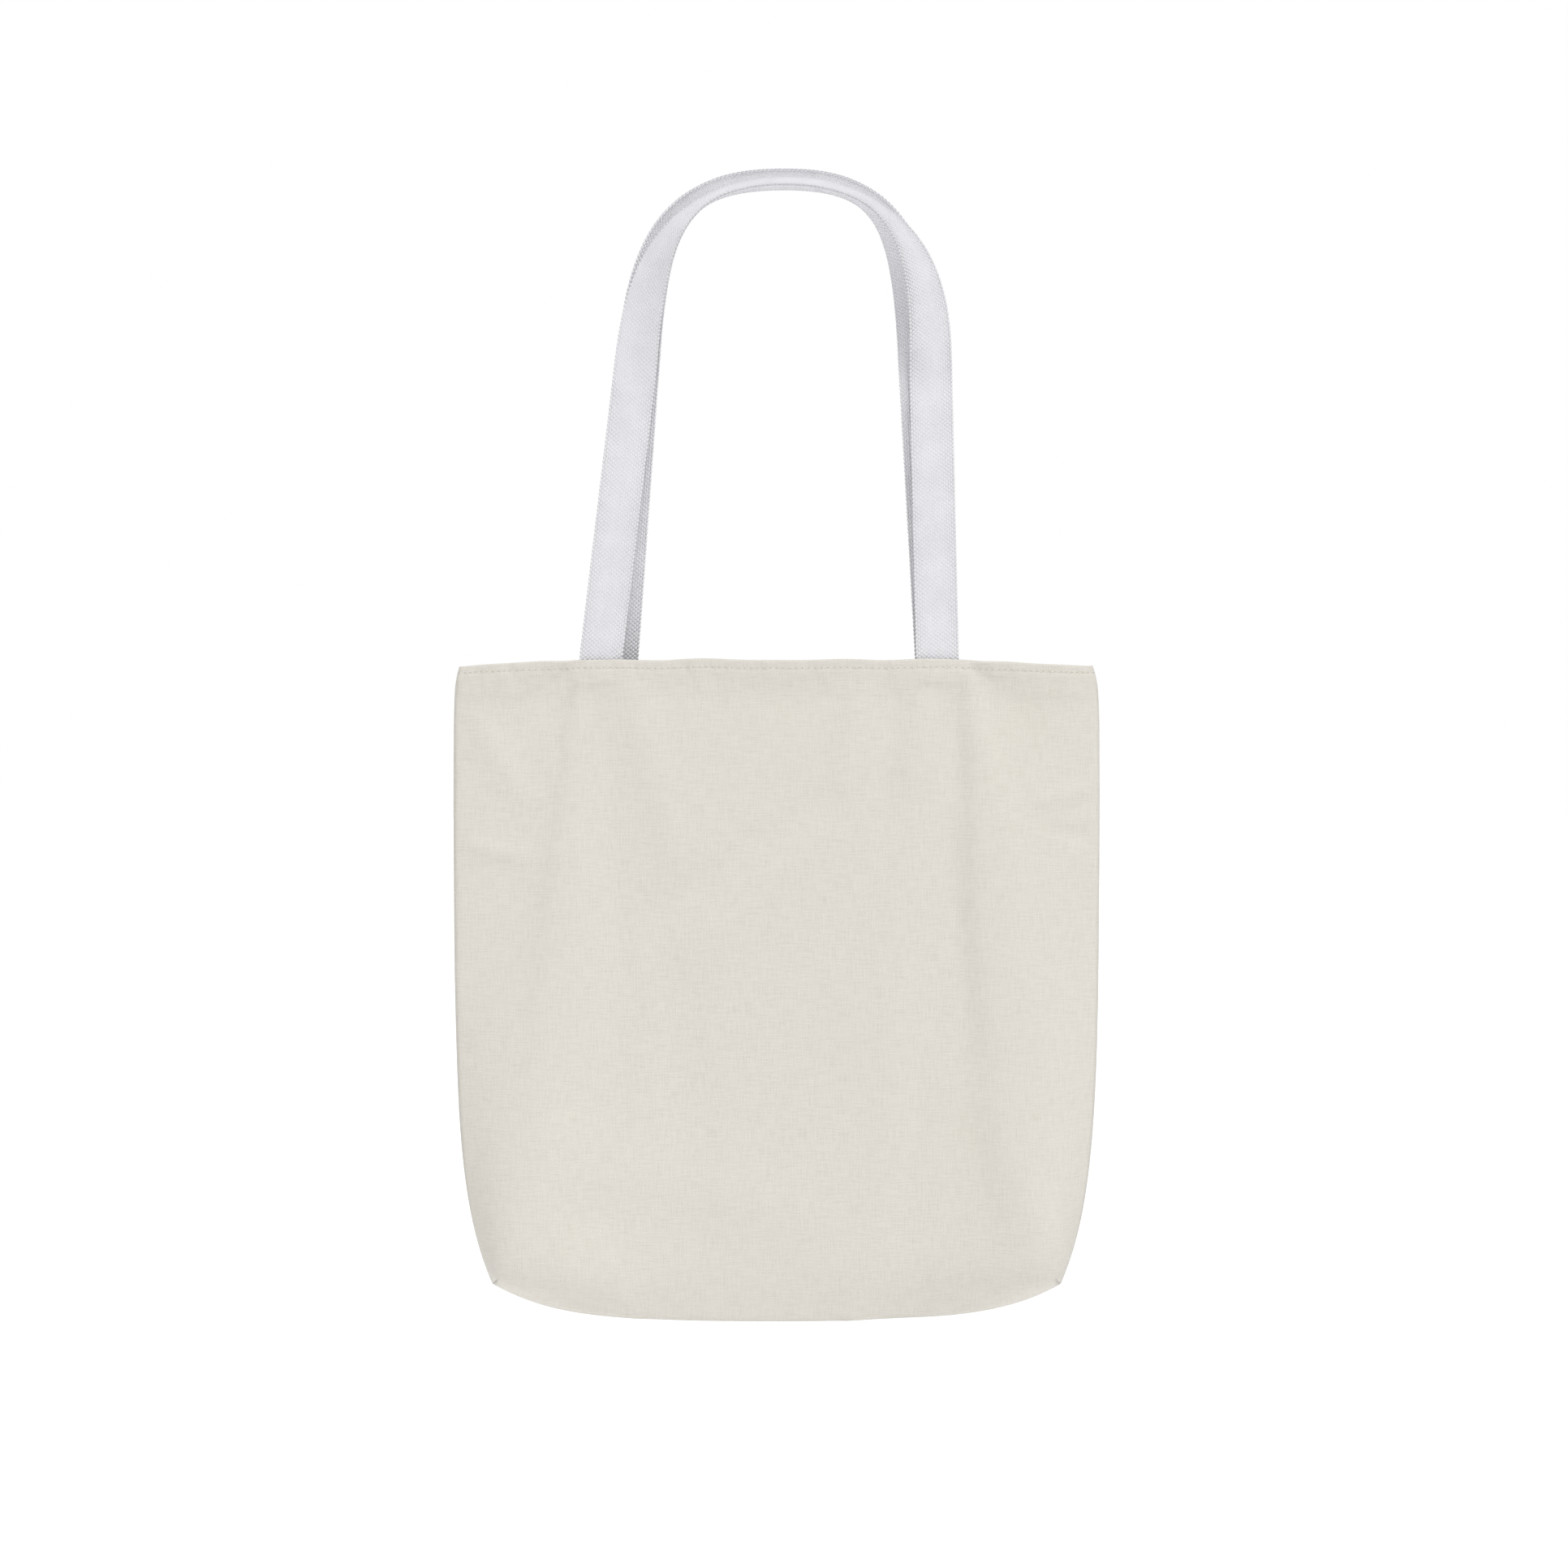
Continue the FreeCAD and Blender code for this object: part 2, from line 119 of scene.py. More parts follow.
def linear(code: str) -> tuple[float, float, float, float]:
    """Turn an sRGB hex colour into a linear one.

    Args:
        code: six hex digits.

    Returns:
        Red, green, blue and an alpha of 1.
    """
    channels = [int(code[i : i + 2], 16) / 255 for i in (0, 2, 4)]
    values = [c / 12.92 if c <= 0.04045 else ((c + 0.055) / 1.055) ** 2.4 for c in channels]
    return (*values, 1.0)


def add_node(
    tree: bpy.types.NodeTree, kind: str, inputs: dict | None = None, **settings: object
) -> bpy.types.Node:
    """Add a node with its settings and links.

    Args:
        tree: the node tree.
        kind: the node's type.
        inputs: for each input, a socket to link or a value to set.
        settings: the node's own attributes.

    Returns:
        The new node.
    """
    made = tree.nodes.new(kind)
    for name, value in settings.items():
        setattr(made, name, value)
    for key, value in (inputs or {}).items():
        socket = made.inputs[key]
        if isinstance(value, bpy.types.NodeSocket):
            tree.links.new(value, socket)
        else:
            socket.default_value = value
    return made


def mesh_object(name: str, points: np.ndarray, faces: list) -> bpy.types.Object:
    """Make a mesh object at the origin.

    Args:
        name: the piece's name.
        points: one row for each vertex.
        faces: vertex numbers of each face.

    Returns:
        The new object, linked to the scene.
    """
    mesh = bpy.data.meshes.new(name)
    mesh.from_pydata(points.tolist(), [], [list(f) for f in faces])
    mesh.update()
    obj = bpy.data.objects.new(name, mesh)
    bpy.context.scene.collection.objects.link(obj)
    return obj


def grid_faces(rows: int, columns: int, wrap: bool = False) -> list[tuple[int, ...]]:
    """Number the four-sided faces of a grid of points.

    Args:
        rows: the grid's rows of points.
        columns: its columns of points.
        wrap: whether the last column joins the first.

    Returns:
        The faces, row by row.
    """
    last = columns if wrap else columns - 1
    faces = []
    for i in range(rows - 1):
        for j in range(last):
            a, b = i * columns + j, i * columns + (j + 1) % columns
            faces.append((a, b, b + columns, a + columns))
    return faces


def lay_cloth_map(obj: bpy.types.Object, flat: np.ndarray) -> None:
    """Give a piece the map that its canvas follows.

    Args:
        obj: the piece.
        flat: each point's place on the flat cloth, in metres.
    """
    layer = obj.data.uv_layers.new(name="cloth")
    corners = np.zeros(len(obj.data.loops), np.int32)
    obj.data.loops.foreach_get("vertex_index", corners)
    layer.data.foreach_set("uv", flat[corners].astype(np.float32).ravel())


def blank_material(name: str) -> tuple[bpy.types.Material, bpy.types.NodeTree]:
    """Start a material with an empty node tree.

    Args:
        name: the finish's name.

    Returns:
        The material and its tree.
    """
    material = bpy.data.materials.new(name)
    material.use_nodes = True
    material.node_tree.nodes.clear()
    return material, material.node_tree


def smooth_step(values: np.ndarray | float) -> np.ndarray:
    """Ease a share from 0 to 1 with level ends."""
    share = np.clip(values, 0, 1)
    return share * share * (3 - 2 * share)


def unit(vectors: np.ndarray) -> np.ndarray:
    """Scale each row to a length of 1."""
    return vectors / np.maximum(np.linalg.norm(vectors, axis=-1, keepdims=True), 1e-12)


def ripple(values: np.ndarray, wavelength: float, seed: int) -> np.ndarray:
    """Give a smooth uneven wave of about unit height, the same each run.

    Args:
        values: places along a line.
        wavelength: its mean wavelength.
        seed: picks the phases.

    Returns:
        The wave's height at each place.
    """
    phases = np.random.default_rng(seed).uniform(0, 2 * math.pi, 4)
    total = np.zeros_like(values)
    for phase, stretch in zip(phases, (1.0, 0.73, 1.37, 0.51)):
        total = total + np.sin(2 * math.pi * values / (wavelength * stretch) + phase)
    return total / 2.2


def fill_corners(grid: np.ndarray, low: int, inside: int, sideways: bool) -> np.ndarray:
    """Carry a grid straight on into its two cut corners, so that curves end at their true slope.

    Args:
        grid: the points, whose first rows hold the corners.
        low: rows in a corner.
        inside: columns in a corner.
        sideways: whether the rows are carried outwards, rather than the columns downwards.

    Returns:
        A copy with its corners filled.
    """
    made = grid.copy()
    for half in (made, made[:, ::-1]):
        if sideways:
            steps = np.arange(1, inside + 1)[None, :, None]
            edge, lean = half[:low, inside], half[:low, inside] - half[:low, inside + 1]
            half[:low, :inside][:, ::-1] = edge[:, None] + steps * lean[:, None]
        else:
            steps = np.arange(1, low + 1)[:, None, None]
            edge, lean = half[low, :inside], half[low, :inside] - half[low + 1, :inside]
            half[:low, :inside][::-1] = edge[None] + steps * lean[None]
    return made


def resample(grid: np.ndarray, old: np.ndarray, new: np.ndarray, axis: int) -> np.ndarray:
    """Read a grid of points at new places along one axis, on smooth cubic curves.

    Args:
        grid: the points.
        old: the places of the grid's own lines along the axis.
        new: the places wanted.
        axis: 0 for rows or 1 for columns.

    Returns:
        The new grid.
    """
    flat = np.moveaxis(grid, axis, 0)
    slopes = np.gradient(flat, old, axis=0)
    index = np.clip(np.searchsorted(old, new, side="right") - 1, 0, len(old) - 2)
    gap = old[index + 1] - old[index]
    t = ((new - old[index]) / gap).reshape(-1, *([1] * (flat.ndim - 1)))
    gap = gap.reshape(t.shape)
    start, end = flat[index], flat[index + 1]
    first, last = slopes[index] * gap, slopes[index + 1] * gap
    out = start * (2 * t**3 - 3 * t**2 + 1) + first * (t**3 - 2 * t**2 + t)
    out = out + end * (3 * t**2 - 2 * t**3) + last * (t**3 - t**2)
    return np.moveaxis(out, 0, axis)


# --- finishes -----------------------------------------------------------------------------


@dataclass(frozen=True)
class Canvas:
    """Natural cotton canvas, plain weave: matt, with uneven threads and slubs both ways, and painted shade
    in the weave's hollows and the hem's needle holes.
    """

    # Unbleached yarn gives a warm off-white; the gap colour is painted shade where the weave dips, and it
    # also tints the slubs' thinner stretches as random tone.
    name: str = "natural_cotton_canvas"
    yarn: str = "DCD8D0"
    gap: str = "D0CCC3"
    warm: str = "D8D3C6"
    pitch_mm: float = 0.9  # the real threads are 0.6 mm apart, too fine to show
    slub_mm: float = 11.0
    roughness: float = 0.92
    # The needle holes' darker colour is painted shade inside the dents.
    shaded_hole: str = "CFC9BE"
    hole_mm: tuple[float, float] = (0.25, 0.75)

    def build(self, row: float, stitch: float) -> bpy.types.Material:
        """Make the material; it reads the piece's own cloth map, in metres.

        Args:
            row: the hem's row of stitches, above the map's zero.
            stitch: the distance between needle holes.

        Returns:
            The material.
        """
        material, tree = blank_material(self.name)
        place = add_node(tree, "ShaderNodeUVMap", uv_map="cloth").outputs[0]
        axes = add_node(tree, "ShaderNodeSeparateXYZ", {0: place})
        turns = 2 * math.pi / (2 * self.pitch_mm * MM)
        fields = []
        for key, seed in (("X", 1.7), ("Y", 5.3)):
            stretch = (1.0, self.pitch_mm / self.slub_mm)
            scale = (*(stretch if key == "X" else stretch[::-1]), 1.0)
            moved = add_node(
                tree,
                "ShaderNodeMapping",
                {"Vector": place, "Location": (seed, seed, seed), "Scale": scale},
            )
            slub = add_node(
                tree,
                "ShaderNodeTexNoise",
                {"Vector": moved.outputs[0], "Scale": 1 / (self.pitch_mm * MM), "Detail": 2.0},
            )
            fields.append(slub.outputs["Fac"])
        weave = []
        for key in ("X", "Y"):
            angle = add_node(
                tree, "ShaderNodeMath", {0: axes.outputs[key], 1: turns}, operation="MULTIPLY"
            )
            wave = add_node(tree, "ShaderNodeMath", {0: angle.outputs[0]}, operation="SINE")
            weave.append(wave.outputs[0])
        cross = add_node(tree, "ShaderNodeMath", {0: weave[0], 1: weave[1]}, operation="MULTIPLY")
        slubs = add_node(tree, "ShaderNodeMath", {0: fields[0], 1: fields[1]}, operation="ADD")
        height = add_node(
            tree,
            "ShaderNodeMath",
            {0: cross.outputs[0], 1: 0.16, 2: slubs.outputs[0]},
            operation="MULTIPLY_ADD",
        )
        broad = add_node(tree, "ShaderNodeTexNoise", {"Vector": place, "Scale": 9.0, "Detail": 3.0})
        shade = add_node(
            tree, "ShaderNodeMapRange", {"Value": height.outputs[0], "From Min": 0.55, "From Max": 1.15}
        )
        # Painted shade: the gap colour darkens the weave's low points, while the slub noise adds random
        # tone.
        colour = add_node(
            tree,
            "ShaderNodeMix",
            {0: shade.outputs[0], 6: linear(self.gap), 7: linear(self.yarn)},
            data_type="RGBA",
        )
        tint = add_node(
            tree,
            "ShaderNodeMapRange",
            {"Value": broad.outputs["Fac"], "From Min": 0.4, "From Max": 0.75, "To Max": 0.2},
        )
        warmed = add_node(
            tree,
            "ShaderNodeMix",
            {0: tint.outputs[0], 6: colour.outputs[2], 7: linear(self.warm)},
            data_type="RGBA",
        )
        # Darken the hem's needle holes with painted shade; the same mask also sinks them in the bump.
        shaded_hole = self.needle_holes(tree, axes, row, stitch)
        shaded_holes_colour = add_node(
            tree, "ShaderNodeMix", {0: shaded_hole, 6: warmed.outputs[2], 7: linear(self.shaded_hole)}, data_type="RGBA"
        )
        sunk = add_node(
            tree, "ShaderNodeMath", {0: shaded_hole, 1: -1.6, 2: height.outputs[0]}, operation="MULTIPLY_ADD"
        )
        bump = add_node(
            tree, "ShaderNodeBump", {"Height": sunk.outputs[0], "Strength": 0.55, "Distance": 0.35 * MM}
        )
        shader = add_node(
            tree,
            "ShaderNodeBsdfPrincipled",
            {
                "Base Color": shaded_holes_colour.outputs[2],
                "Roughness": self.roughness,
                "Sheen Weight": 0.12,
                "Specular IOR Level": 0.25,
                "Normal": bump.outputs[0],
            },
        )
        add_node(tree, "ShaderNodeOutputMaterial", {"Surface": shader.outputs[0]})
        return material

    def needle_holes(
        self, tree: bpy.types.NodeTree, axes: bpy.types.Node, row: float, stitch: float
    ) -> bpy.types.NodeSocket:
        """Small dents where the needle went through along the hem's row, coloured darker as painted shade.

        Args:
            tree: the material's nodes.
            axes: the cloth map's separate axes.
            row: the row's height on the map.
            stitch: the distance between holes.

        Returns:
            A value of 1 in a hole and 0 elsewhere.
        """
        along = add_node(
            tree,
            "ShaderNodeMath",
            {0: axes.outputs["X"], 1: -stitch / 2, 2: stitch / 2},
            operation="WRAP",
        )
        across = add_node(tree, "ShaderNodeMath", {0: axes.outputs["Y"], 1: row}, operation="SUBTRACT")
        both = add_node(tree, "ShaderNodeCombineXYZ", {0: along.outputs[0], 1: across.outputs[0]})
        far = add_node(tree, "ShaderNodeVectorMath", {0: both.outputs[0]}, operation="LENGTH")
        near = add_node(
            tree,
            "ShaderNodeMapRange",
            {
                "Value": far.outputs["Value"],
                "From Min": self.hole_mm[0] * MM,
                "From Max": self.hole_mm[1] * MM,
                "To Min": 1.0,
                "To Max": 0.0,
            },
            interpolation_type="SMOOTHSTEP",
        )
        return near.outputs[0]


@dataclass(frozen=True)
class Thread:
    """Spun or filament thread: fine fibres along it, a soft sheen, a little uneven in colour."""

    name: str
    light: str
    dark: str
    fibre_mm: float = 0.35
    roughness: float = 0.7
    sheen: float = 0.25

    def build(self) -> bpy.types.Material:
        """Make the material.

        Returns:
            The material, which reads object coordinates.
        """
        material, tree = blank_material(self.name)
        place = add_node(tree, "ShaderNodeTexCoord").outputs["Object"]
        fibre = add_node(
            tree,
            "ShaderNodeTexNoise",
            {"Vector": place, "Scale": 1 / (self.fibre_mm * MM), "Detail": 3.0},
        )
        broad = add_node(tree, "ShaderNodeTexNoise", {"Vector": place, "Scale": 60.0})
        mixed = add_node(
            tree, "ShaderNodeMath", {0: fibre.outputs["Fac"], 1: broad.outputs["Fac"]}, operation="ADD"
        )
        share = add_node(
            tree, "ShaderNodeMapRange", {"Value": mixed.outputs[0], "From Min": 0.7, "From Max": 1.25}
        )
        colour = add_node(
            tree,
            "ShaderNodeMix",
            {0: share.outputs[0], 6: linear(self.dark), 7: linear(self.light)},
            data_type="RGBA",
        )
        bump = add_node(
            tree,
            "ShaderNodeBump",
            {"Height": fibre.outputs["Fac"], "Strength": 0.4, "Distance": 0.12 * MM},
        )
        shader = add_node(
            tree,
            "ShaderNodeBsdfPrincipled",
            {
                "Base Color": colour.outputs[2],
                "Roughness": self.roughness,
                "Sheen Weight": self.sheen,
                "Specular IOR Level": 0.3,
                "Normal": bump.outputs[0],
            },
        )
        add_node(tree, "ShaderNodeOutputMaterial", {"Surface": shader.outputs[0]})
        return material


@dataclass(frozen=True)
class Finishes:
    """Every finish on the bag, made once."""

    canvas: bpy.types.Material
    webbing: bpy.types.Material
    shaded_webbing_core: bpy.types.Material
    sewing: bpy.types.Material
    overlock: bpy.types.Material


# --- repeated small pieces ----------------------------------------------------------------


@dataclass
class Beads:
    """Short rounded lengths of yarn set out on points: stitches, edge loops, woven knuckles."""

    name: str
    length: float
    width: float
    height: float
    jitter: float = 0.0
    seed: int = 0
    points: list = field(default_factory=list)

    def add(self, place: np.ndarray, along: np.ndarray, out: np.ndarray) -> None:
        """Add one or many beads.

        Args:
            place: their middles.
            along: the direction each lies in.
            out: the direction each stands out in.
        """
        rows = np.atleast_2d(place)
        shape = rows.shape
        sets = (rows, np.broadcast_to(along, shape), np.broadcast_to(out, shape))
        self.points.append(np.hstack(sets))

    def tree(self) -> tuple[bpy.types.NodeTree, dict[str, str]]:
        """Build the node tree that sets a rounded bead on every point.

        Returns:
            The tree, and the identifier of each named input.
        """
        group = bpy.data.node_groups.new(f"{self.name}_beads", "GeometryNodeTree")
        face = group.interface
        face.new_socket("Geometry", in_out="INPUT", socket_type="NodeSocketGeometry")
        ids = {}
        kinds = {"Length": "Float", "Width": "Float", "Height": "Float", "Jitter": "Float"}
        kinds |= {"Seed": "Int", "Material": "Material"}
        for name, kind in kinds.items():
            socket = face.new_socket(name, in_out="INPUT", socket_type=f"NodeSocket{kind}")
            ids[name] = socket.identifier
        face.new_socket("Geometry", in_out="OUTPUT", socket_type="NodeSocketGeometry")
        start = group.nodes.new("NodeGroupInput")
        end = group.nodes.new("NodeGroupOutput")
        bead = add_node(group, "GeometryNodeMeshIcoSphere", {"Radius": 0.5, "Subdivisions": 1})
        axes = {}
        for name in ("along", "out"):
            read = add_node(group, "GeometryNodeInputNamedAttribute", {0: name}, data_type="FLOAT_VECTOR")
            axes[name] = read.outputs[0]
        turn = add_node(
            group,
            "FunctionNodeAxesToRotation",
            {0: axes["out"], 1: axes["along"]},
            primary_axis="Z",
            secondary_axis="X",
        )
        low = add_node(
            group, "ShaderNodeMath", {0: 1.0, 1: start.outputs["Jitter"]}, operation="SUBTRACT"
        )
        high = add_node(group, "ShaderNodeMath", {0: 1.0, 1: start.outputs["Jitter"]}, operation="ADD")
        chance = add_node(group, "FunctionNodeRandomValue", data_type="FLOAT")
        for key, socket in (("Min", low.outputs[0]), ("Max", high.outputs[0])):
            target = [s for s in chance.inputs if s.name == key and s.type == "VALUE"][0]
            group.links.new(socket, target)
        group.links.new(start.outputs["Seed"], chance.inputs["Seed"])
        value = [s for s in chance.outputs if s.type == "VALUE"][0]
        size = add_node(
            group,
            "ShaderNodeCombineXYZ",
            {0: start.outputs["Length"], 1: start.outputs["Width"], 2: start.outputs["Height"]},
        )
        scale = add_node(group, "ShaderNodeVectorMath", {0: size.outputs[0], 3: value}, operation="SCALE")
        spread = add_node(
            group,
            "GeometryNodeInstanceOnPoints",
            {
                "Points": start.outputs["Geometry"],
                "Instance": bead.outputs["Mesh"],
                "Rotation": turn.outputs[0],
                "Scale": scale.outputs[0],
            },
        )
        real = add_node(group, "GeometryNodeRealizeInstances", {0: spread.outputs[0]})
        soft = add_node(group, "GeometryNodeSetShadeSmooth", {0: real.outputs[0]})
        dressed = add_node(
            group,
            "GeometryNodeSetMaterial",
            {"Geometry": soft.outputs[0], "Material": start.outputs["Material"]},
        )
        group.links.new(dressed.outputs[0], end.inputs[0])
        return group, ids

    def build(self, material: bpy.types.Material) -> bpy.types.Object:
        """Turn the points into one plain mesh of beads.

        Args:
            material: the thread's finish.

        Returns:
            The finished piece.
        """
        rows = np.vstack(self.points)
        seedbed = mesh_object(f"{self.name}_points", rows[:, :3], [])
        for name, columns in (("along", rows[:, 3:6]), ("out", rows[:, 6:9])):
            layer = seedbed.data.attributes.new(name, "FLOAT_VECTOR", "POINT")
            layer.data.foreach_set("vector", columns.astype(np.float32).ravel())
        group, ids = self.tree()
        modifier = seedbed.modifiers.new("beads", "NODES")
        modifier.node_group = group
        values = {
            "Length": self.length,
            "Width": self.width,
            "Height": self.height,
            "Jitter": self.jitter,
            "Seed": self.seed,
            "Material": material,
        }
        for name, value in values.items():
            modifier[ids[name]] = value
        bpy.context.view_layer.update()
        graph = bpy.context.evaluated_depsgraph_get()
        mesh = bpy.data.meshes.new_from_object(seedbed.evaluated_get(graph))
        bpy.data.objects.remove(seedbed)
        for layer in [a for a in mesh.attributes if a.name in ("along", "out")]:
            mesh.attributes.remove(layer)
        mesh.name = self.name
        made = bpy.data.objects.new(self.name, mesh)
        bpy.context.scene.collection.objects.link(made)
        return made


# --- the bag's form -----------------------------------------------------------------------


@dataclass
class Fold:
    """A soft crease in a panel, on a line between two places of the flat cloth, in millimetres."""

    start: tuple[float, float]
    end: tuple[float, float]
    width: float
    height: float

    def rise(self, across: np.ndarray, down: np.ndarray) -> np.ndarray:
        """Give how far the cloth stands out along the crease.

        Args:
            across: places across the cloth, in metres.
            down: places down from the hem, negative, in metres.

        Returns:
            The height at each place, in metres.
        """
        a = np.array(self.start) * MM
        b = np.array(self.end) * MM
        run = b - a
        share = ((across - a[0]) * run[0] + (down - a[1]) * run[1]) / (run @ run)
        held = np.clip(share, 0, 1)
        gap = np.hypot(across - a[0] - held * run[0], down - a[1] - held * run[1])
        fade = smooth_step(np.minimum(held, 1 - held) * 4 + 0.12)
        return self.height * MM * fade * np.exp(-((gap / (self.width * MM)) ** 2))


@dataclass
class BagForm:
    """The empty bag's surface: flat cloth to its place in space, as the frame has it."""

    half_width: float
    height: float
    mouth_z: float
    cloth: float = 0.7 * MM
    corner: float = 24 * MM
    side_run: float = 55 * MM
    keel_run: float = 42 * MM
    mouth_open: float = 9.5 * MM
    mouth_pull: float = 4.5 * MM
    pull_run: float = 18 * MM
    hem_depth: float = 8 * MM
    hem_fade: float = 16 * MM
    hem_row: float = 5 * MM
    stitch: float = 3.9 * MM
    allowance: float = 10 * MM
    gap: float = 0.12 * MM

    @property
    def fold_x(self) -> float:
        """Inside of the gusset's fold."""
        return self.half_width - self.corner - self.cloth

    @property
    def fold_z(self) -> float:
        """Height of the bottom's fold, below the hem."""
        return self.corner + self.cloth - self.height

    @property
    def layer(self) -> float:
        """One thickness of cloth with its clearance."""
        return self.cloth + self.gap

    def side_turn(self, z: np.ndarray) -> tuple[np.ndarray, np.ndarray]:
        """Cosine and sine of the gusset's turn at a height below the hem."""
        flat = 1 - np.exp(-np.maximum(z - self.fold_z, 0) / self.side_run)
        return flat, np.sqrt(1 - flat * flat)

    def keel_turn(self, x: np.ndarray) -> tuple[np.ndarray, np.ndarray]:
        """Turn the bottom of the bag.

        Args:
            x: places across.

        Returns:
            The turn's cosine and sine at each.
        """
        inside = np.minimum(np.abs(x), self.fold_x)
        flat = 1 - np.cosh(inside / self.keel_run) / math.cosh(self.fold_x / self.keel_run)
        return flat, np.sqrt(1 - flat * flat)

    def bulk(self, z: np.ndarray) -> np.ndarray:
        """How far the hem's turned layers hold the sides of the bag apart."""
        fade = (z + self.hem_depth + self.hem_fade) / self.hem_fade
        return 2 * self.layer * np.clip(fade, 0, 1)

    def stack(self, x: np.ndarray, z: np.ndarray) -> np.ndarray:
        """Leave room for the turned-in edges.

        Args:
            x: places across.
            z: heights below the hem.

        Returns:
            The room between the middle plane and a panel's inside.
        """
        side_flat, _ = self.side_turn(z)
        keel_flat, _ = self.keel_turn(x)
        return self.gap + self.layer * (1 - (1 - side_flat) * (1 - keel_flat)) + self.bulk(z)

    def seam_x(self, z: np.ndarray) -> np.ndarray:
        """Place the inside of the side seam.

        Args:
            z: heights below the hem.

        Returns:
            The seam's distance from the middle at each.
        """
        flat, _ = self.side_turn(z)
        pull = self.mouth_pull * np.exp(z / self.pull_run)
        return self.fold_x + self.corner * flat - pull

    def hollow(self, x: np.ndarray, z: np.ndarray) -> np.ndarray:
        """Shape a panel's face, beyond its stack of layers.

        Args:
            x: places across.
            z: heights below the hem.

        Returns:
            The face's depth at each.
        """
        rise = z - self.fold_z
        _, side_deep = self.side_turn(z)
        _, keel_deep = self.keel_turn(x)
        swell = 1 - (1 - np.clip(rise / -self.fold_z, 0, 1)) ** 3
        bulge = self.mouth_open * swell * (1 - (x / self.seam_x(z)) ** 2)
        return self.corner * side_deep * keel_deep + bulge

    def mouth_depth(self, x: float) -> float:
        """Middle plane to the inside of a panel at the hem's top edge."""
        place, level = np.array(x), np.array(0.0)
        return float(self.hollow(place, level) + self.stack(place, level))

    def surface(self, across: np.ndarray, up: np.ndarray) -> np.ndarray:
        """Place flat cloth in space, without the stack of layers.

        Args:
            across: places across from the cloth's middle.
            up: places up from the bottom seam.

        Returns:
            Points whose heights are below the hem and whose depths are positive.
        """
        side = np.where(across < 0, -1.0, 1.0)
        inset = self.half_width - np.abs(across)
        z = up - self.height
        face_x = np.clip(across, -self.fold_x, self.fold_x)
        face_z = np.maximum(z, self.fold_z)
        depth = self.hollow(face_x, face_z)
        flat, _ = self.side_turn(face_z)
        share = np.clip(inset / self.corner, 0, 1)
        pull = self.mouth_pull * np.exp(face_z / self.pull_run) * (1 - share)
        turned_x = side * (self.fold_x + (1 - share) * self.corner * flat - pull)
        x = np.where(share < 1, turned_x, face_x)
        depth = np.where(share < 1, depth * share, depth)
        low = np.clip(up / self.corner, 0, 1)
        keel_flat, _ = self.keel_turn(face_x)
        bottom = low < 1
        z = np.where(bottom, self.fold_z - (1 - low) * self.corner * keel_flat, face_z)
        depth = np.where(bottom, self.hollow(face_x, np.full_like(z, self.fold_z)) * low, depth)
        return np.stack([x, depth, z], axis=-1)


CANVAS_BEHAVIOUR = {
    "quality": 8,
    "mass": 0.12,
    "air_damping": 4.0,
    "tension_stiffness": 60,
    "compression_stiffness": 30,
    "shear_stiffness": 12,
    "bending_stiffness": 6,
    "tension_damping": 15,
    "compression_damping": 15,
    "shear_damping": 12,
    "bending_damping": 2,
}


